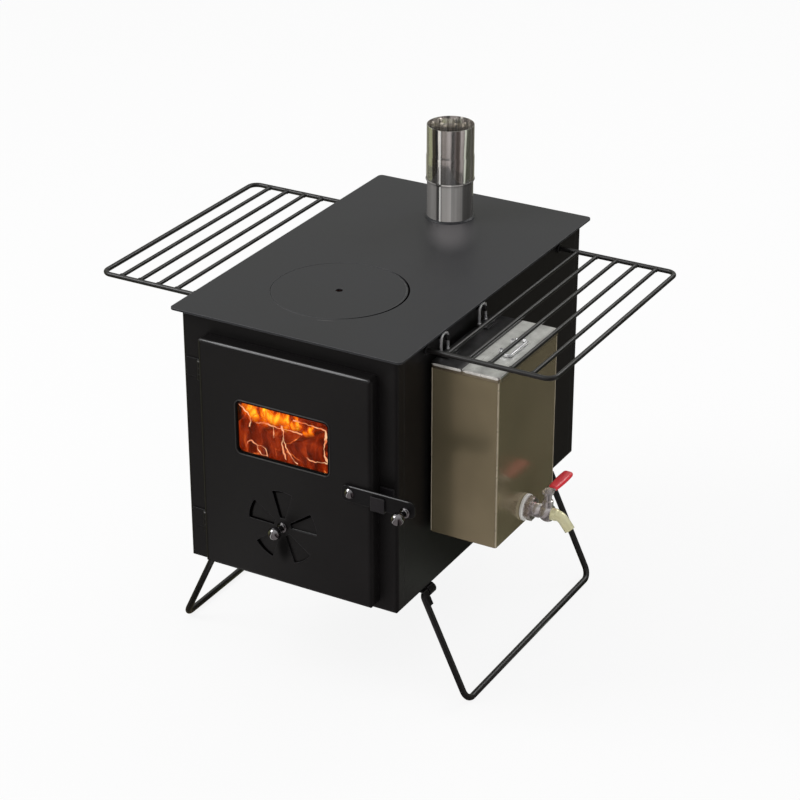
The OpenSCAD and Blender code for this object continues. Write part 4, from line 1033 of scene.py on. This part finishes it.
tank_steel = bright_steel("rolled tank steel", (0.43, 0.36, 0.225), (0.29, 0.24, 0.145), 0.22, (700, 700, 14),
                          blotch=4, spread=0.05, lines=0.03, bevel=0.0006, bare=0.68)
brown_below = (at(0, 0, 300.2).z, (0.4, 0.34, 0.24))
lid_steel = bright_steel("rolled lid steel", (0.88, 0.88, 0.86), (0.62, 0.62, 0.6), 0.32, (900, 14, 30), blotch=70,
                         spread=0.1, lines=0.1, bevel=0.0005, bare=0.85, skirt=brown_below)
# The fixed cover's dark tone is painted shade and a painted reflection of the dark box beside it.
cover_shaded_steel = bright_steel("shaded cover steel", (0.17, 0.165, 0.17), (0.1, 0.1, 0.1), 0.36, (900, 14, 30), blotch=40,
                           spread=0.06, lines=0.05, bevel=0.0005, skirt=brown_below)
finish_node("tank_shell", tank_steel)
finish_node("tank_lid", lid_steel)
finish_node("tank_cover", cover_shaded_steel)
finish_node("loop_tabs", cover_shaded_steel)

# The corner seams are real; their lighter tone is partly a painted highlight along the corners.
corner_seam_highlight_steel = bright_steel("corner seam highlight steel", (0.66, 0.58, 0.44), (0.5, 0.43, 0.32), 0.3, (60, 60, 200), blotch=50,
                          bare=0.4)
tank_left, tank_right, tank_front, tank_back, tank_low, tank_high = 150, 237, -167, -17, 82.2, 295
seams = []
for sx, sy in ((-1, -1), (1, -1), (1, 1), (-1, 1)):
    x, y = (tank_right if sx > 0 else tank_left), (tank_back if sy > 0 else tank_front)
    near = at(x - sx * 3, y - sy * 3, 0)
    out = Vector((sx, sy, 0)).normalized()
    path = []
    for k in range(90):
        z = tank_low + k * (tank_high - tank_low) / 89
        wave = 0.12 * noise.noise(Vector((x, y, z * 0.21)))
        path.append(near + out * (3 - 0.15 + 0.4 * wave) / 1000 + Vector((0, 0, z / 1000)))
    seams.append(wire(path, lambda t: 0.95, 10))
made("tank_corner_seams", *joined(*seams), corner_seam_highlight_steel, "tank", "stainless", crease=60)

# Light strips along the front top edges of the cover and lid are painted highlights.
hem_highlight_steel = bright_steel("painted hem highlight", (0.95, 0.92, 0.86), (0.6, 0.58, 0.54), 0.3, (220, 60, 60), blotch=90, bare=0.3)
for name, first, last, body in (("cover_front_hem_highlight", 152, 189, "tank"), ("lid_front_hem_highlight", 192, 236.5, "tank_lid")):
    path = [at(first + (last - first) * k / 40, -168.3, 300.6) for k in range(41)]
    verts, faces = tapered(path, 1.7, 8, 0.35, 12)
    flat = [Vector((v.x, path[0].y + (v.y - path[0].y) * 0.3, v.z)) for v in verts]
    made(name, flat, faces, hem_highlight_steel, body, "stainless", crease=60)

loop_wire = bright_steel("bright wire", (0.95, 0.95, 0.96), (0.8, 0.8, 0.82), 0.2, (90, 90, 90), blotch=60, bare=0.72)
tank_y, lid_top, loop_y = -92, 303, 47
loop_x, loop_half, loop_top, loop_foot = 151.6, 8, 327.7, lid_top + 1.6
weld_drop = [(0, 0.1), (2.1, 0.1), (2.3, 0.5), (2.1, 1.2), (1.6, 1.8), (0, 2.0)]
loops = []
for y in (tank_y - loop_y, tank_y + loop_y):
    arch = [at(loop_x, y - loop_half, loop_foot), at(loop_x, y - loop_half, loop_top),
            at(loop_x, y + loop_half, loop_top), at(loop_x, y + loop_half, loop_foot)]
    loops.append(wire(rounded(arch, [0, 0.0075, 0.0075, 0], 12), 1.75, 18))
    loops += [turned(weld_drop, at(151.9, y + t, lid_top + 1.5), upwards, 20) for t in (-loop_half, loop_half)]
made("tank_loop_wires", *joined(*loops), loop_wire, "tank", "chrome", ["tank_loops"], crease=40)

head = [(0, -0.25), (1.3, -0.25), (1.3, 2.5), (2.6, 2.5), (2.5, 2.9), (2.1, 3.35), (1.5, 3.65), (0.8, 3.8), (0, 3.85)]
rivets = [turned(head, at(160, tank_y + s * loop_y + t * 10, 302), upwards, 28) for s in (-1, 1) for t in (-1, 1)]
made("loop_rivet_heads", *joined(*rivets), loop_wire, "tank", "stainless", ["loop_rivets"])

handle_x, handle_z, arm, half = 210, 305, 14, 23
turns = [(0, -12), (0, -half), (arm, -half), (arm, half), (0, half), (0, 12)]
handle = rounded([at(handle_x + x, tank_y + y, handle_z) for x, y in turns],
                 [0, 0.0035, 0.0035, 0.0035, 0.0035, 0], 10)
made("lid_handle_wire", *wire(handle, 1.9, 18), loop_wire, "lid_handle", "chrome", ["lid_handle"])
finish_node("lid_clips", loop_wire)


# ---- Tap ----
# A small ball tap: a silicone washer and a hexagon nut against the tank, a
# plated body, a brass spout, and a steel lever in a dipped red sleeve.

def moulded(name, first, second, size, detail, strength, finish):
    """Rubber or plastic whose colour wanders a little between two tones."""
    soft, tree = material(name)
    cloud = mottle(tree, put(tree, "TexCoord").outputs["Object"], size, detail)
    tone = mixed(tree, cloud, (*first, 1), (*second, 1))
    bump = put(tree, "Bump", {"Strength": strength, "Distance": 0.0003, "Height": cloud})
    surface(tree, {"Base Color": tone, "Normal": bump, **finish})
    return soft


tap_root = at(tank_right, tank_y, 101)
washer = [(6.9, 0.02), (15.9, 0.02), (16.4, 0.5), (16.5, 1.2), (16.5, 2.8), (16.4, 3.5), (15.9, 3.98), (6.9, 3.98)]
silicone = moulded("white silicone", (0.97, 0.96, 0.93), (0.92, 0.91, 0.87), 120.0, 4.0, 0.15, {"Roughness": 0.5})
made("tap_washer_ring", *turned(washer, tap_root, rightwards, 72, loop=True), silicone, "tank", "white_seal",
     ["tap_washer"])

nickel = bright_steel("dull nickel plate", (0.62, 0.56, 0.53), (0.4, 0.35, 0.33), 0.27, (220, 220, 220), blotch=70,
                      bevel=0.0004, bare=0.8)
plated = bright_steel("bright nickel plate", (0.84, 0.8, 0.79), (0.6, 0.56, 0.55), 0.18, (140, 140, 140), blotch=60,
                      bevel=0.0003, bare=0.8)


def hexagon(flat_r, bore, low, high, chamfer, centre, axis):
    """A nut with its corners turned off in a cone at both ends, as a lathe leaves them."""
    steps, verts = 72, []
    corner, sixth = flat_r / math.cos(math.pi / 6), math.pi / 3
    flats = [flat_r / math.cos((k * math.tau / steps + math.pi / 6) % sixth - math.pi / 6) for k in range(steps)]
    for h, cone in ((low, flat_r - 0.2), (low + chamfer, corner), (high - chamfer, corner), (high, flat_r - 0.2)):
        verts += hoop(centre, axis, h, [min(flat, cone) if cone < corner else flat for flat in flats])
    for h in (high, low):
        verts += hoop(centre, axis, h, [bore] * steps)
    return verts, skin(6, steps, loop=True)


made("tap_hexagon_nut", *hexagon(13.5, 6.9, 4.02, 12, 1.3, tap_root, rightwards), nickel, "tank", "stainless",
     ["tap_nut"], crease=24)
finish_node("tap_backnut", nickel)

barrel = [(0, 12), (9, 12), (9, 13.2), (8.4, 13.8), (8.4, 15.2), (9, 15.8), (9, 19.5)]
barrel += [(r, h) for r, h in ball_arc(11, 30, range(-62, 33, 6)) if r > 9.0 or h > 22]
barrel += [(9.2, 36), (8.6, 36), (0, 36)]
shank = [(4, -9), (6.8, -9), (6.8, 12.2), (4, 12.2)]
stem = [(0, 0), (6.5, 0), (6.5, 15.4), (6.2, 16.6), (5.2, 17.2), (4.6, 17.6), (4.5, 18.4), (4.5, 25.2), (4.1, 25.7),
        (0, 25.7)]
pivot = tap_root + Vector((0.030, 0, 0))
made("tap_plated_body", *joined(turned(barrel, tap_root, rightwards, 72), turned(stem, pivot, upwards, 48),
                                turned(shank, tap_root, rightwards, 48, loop=True)),
     plated, "tank", "stainless", ["tap_body"])

brass = bright_steel("pale brass", (1.0, 0.98, 0.7), (0.9, 0.85, 0.52), 0.2, (160, 160, 160), blotch=60, bare=0.3)
fall = math.radians(52)
start = tap_root + Vector((0.036, 0, 0))
bend = start + Vector((0.0115, 0, 0))
mouth = bend + Vector((math.cos(fall), 0, -math.sin(fall))) * 0.0195
run = rounded([start, bend, mouth], [0, 0.014, 0], 14)
outer = wire(run, lambda t: 7.5 if t < 0.14 else 6.5, 40, ends=False)
inner = wire(run, lambda t: 4.7, 40, ends=False)
count = len(outer[0])
spout_faces = outer[1] + [[i + count for i in reversed(face)] for face in inner[1]]
for base in (0, count - 40):
    for k in range(40):
        m = (k + 1) % 40
        spout_faces.append([base + k, base + m, base + m + count, base + k + count])
made("tap_brass_spout", outer[0] + inner[0], spout_faces, brass, "tank", "brass", ["tap_spout"], crease=40)


dipped_red = moulded("dipped red sleeve", (0.86, 0.022, 0.04), (0.97, 0.06, 0.08), 160.0, 3.0, 0.2,
                     {"Roughness": 0.3, "Coat Weight": 0.4})
low, high = (Vector(corner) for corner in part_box("lever_sleeve"))
centre, half = (low + high) / 2, (high - low) / 2
verts, rows = [], 26
for i in range(rows + 1):
    t = i / rows
    end = min(1, math.sqrt(max(0.0, 1 - (1 - min(t, 1 - t) / 0.09) ** 2)) if min(t, 1 - t) < 0.09 else 1)
    swell = (0.62 + 0.38 * end) * (0.93 + 0.07 * math.cos((t - 0.62) * 5))
    for k in range(32):
        a = k * math.tau / 32
        c, n = math.cos(a), math.sin(a)
        verts.append(centre + Vector((math.copysign(abs(c) ** 0.62, c) * half.x * swell, (2 * t - 1) * half.y,
                                      math.copysign(abs(n) ** 0.75, n) * half.z * swell)))
faces = skin(rows + 1, 32) + [list(range(32)), [rows * 32 + k for k in range(32)]]
made("lever_red_sleeve", verts, faces, dipped_red, "tap_lever", "red_sleeve", ["lever_sleeve"], crease=50)
finish_node("tap_lever", plated)
finish_node("lever_screw", plated)
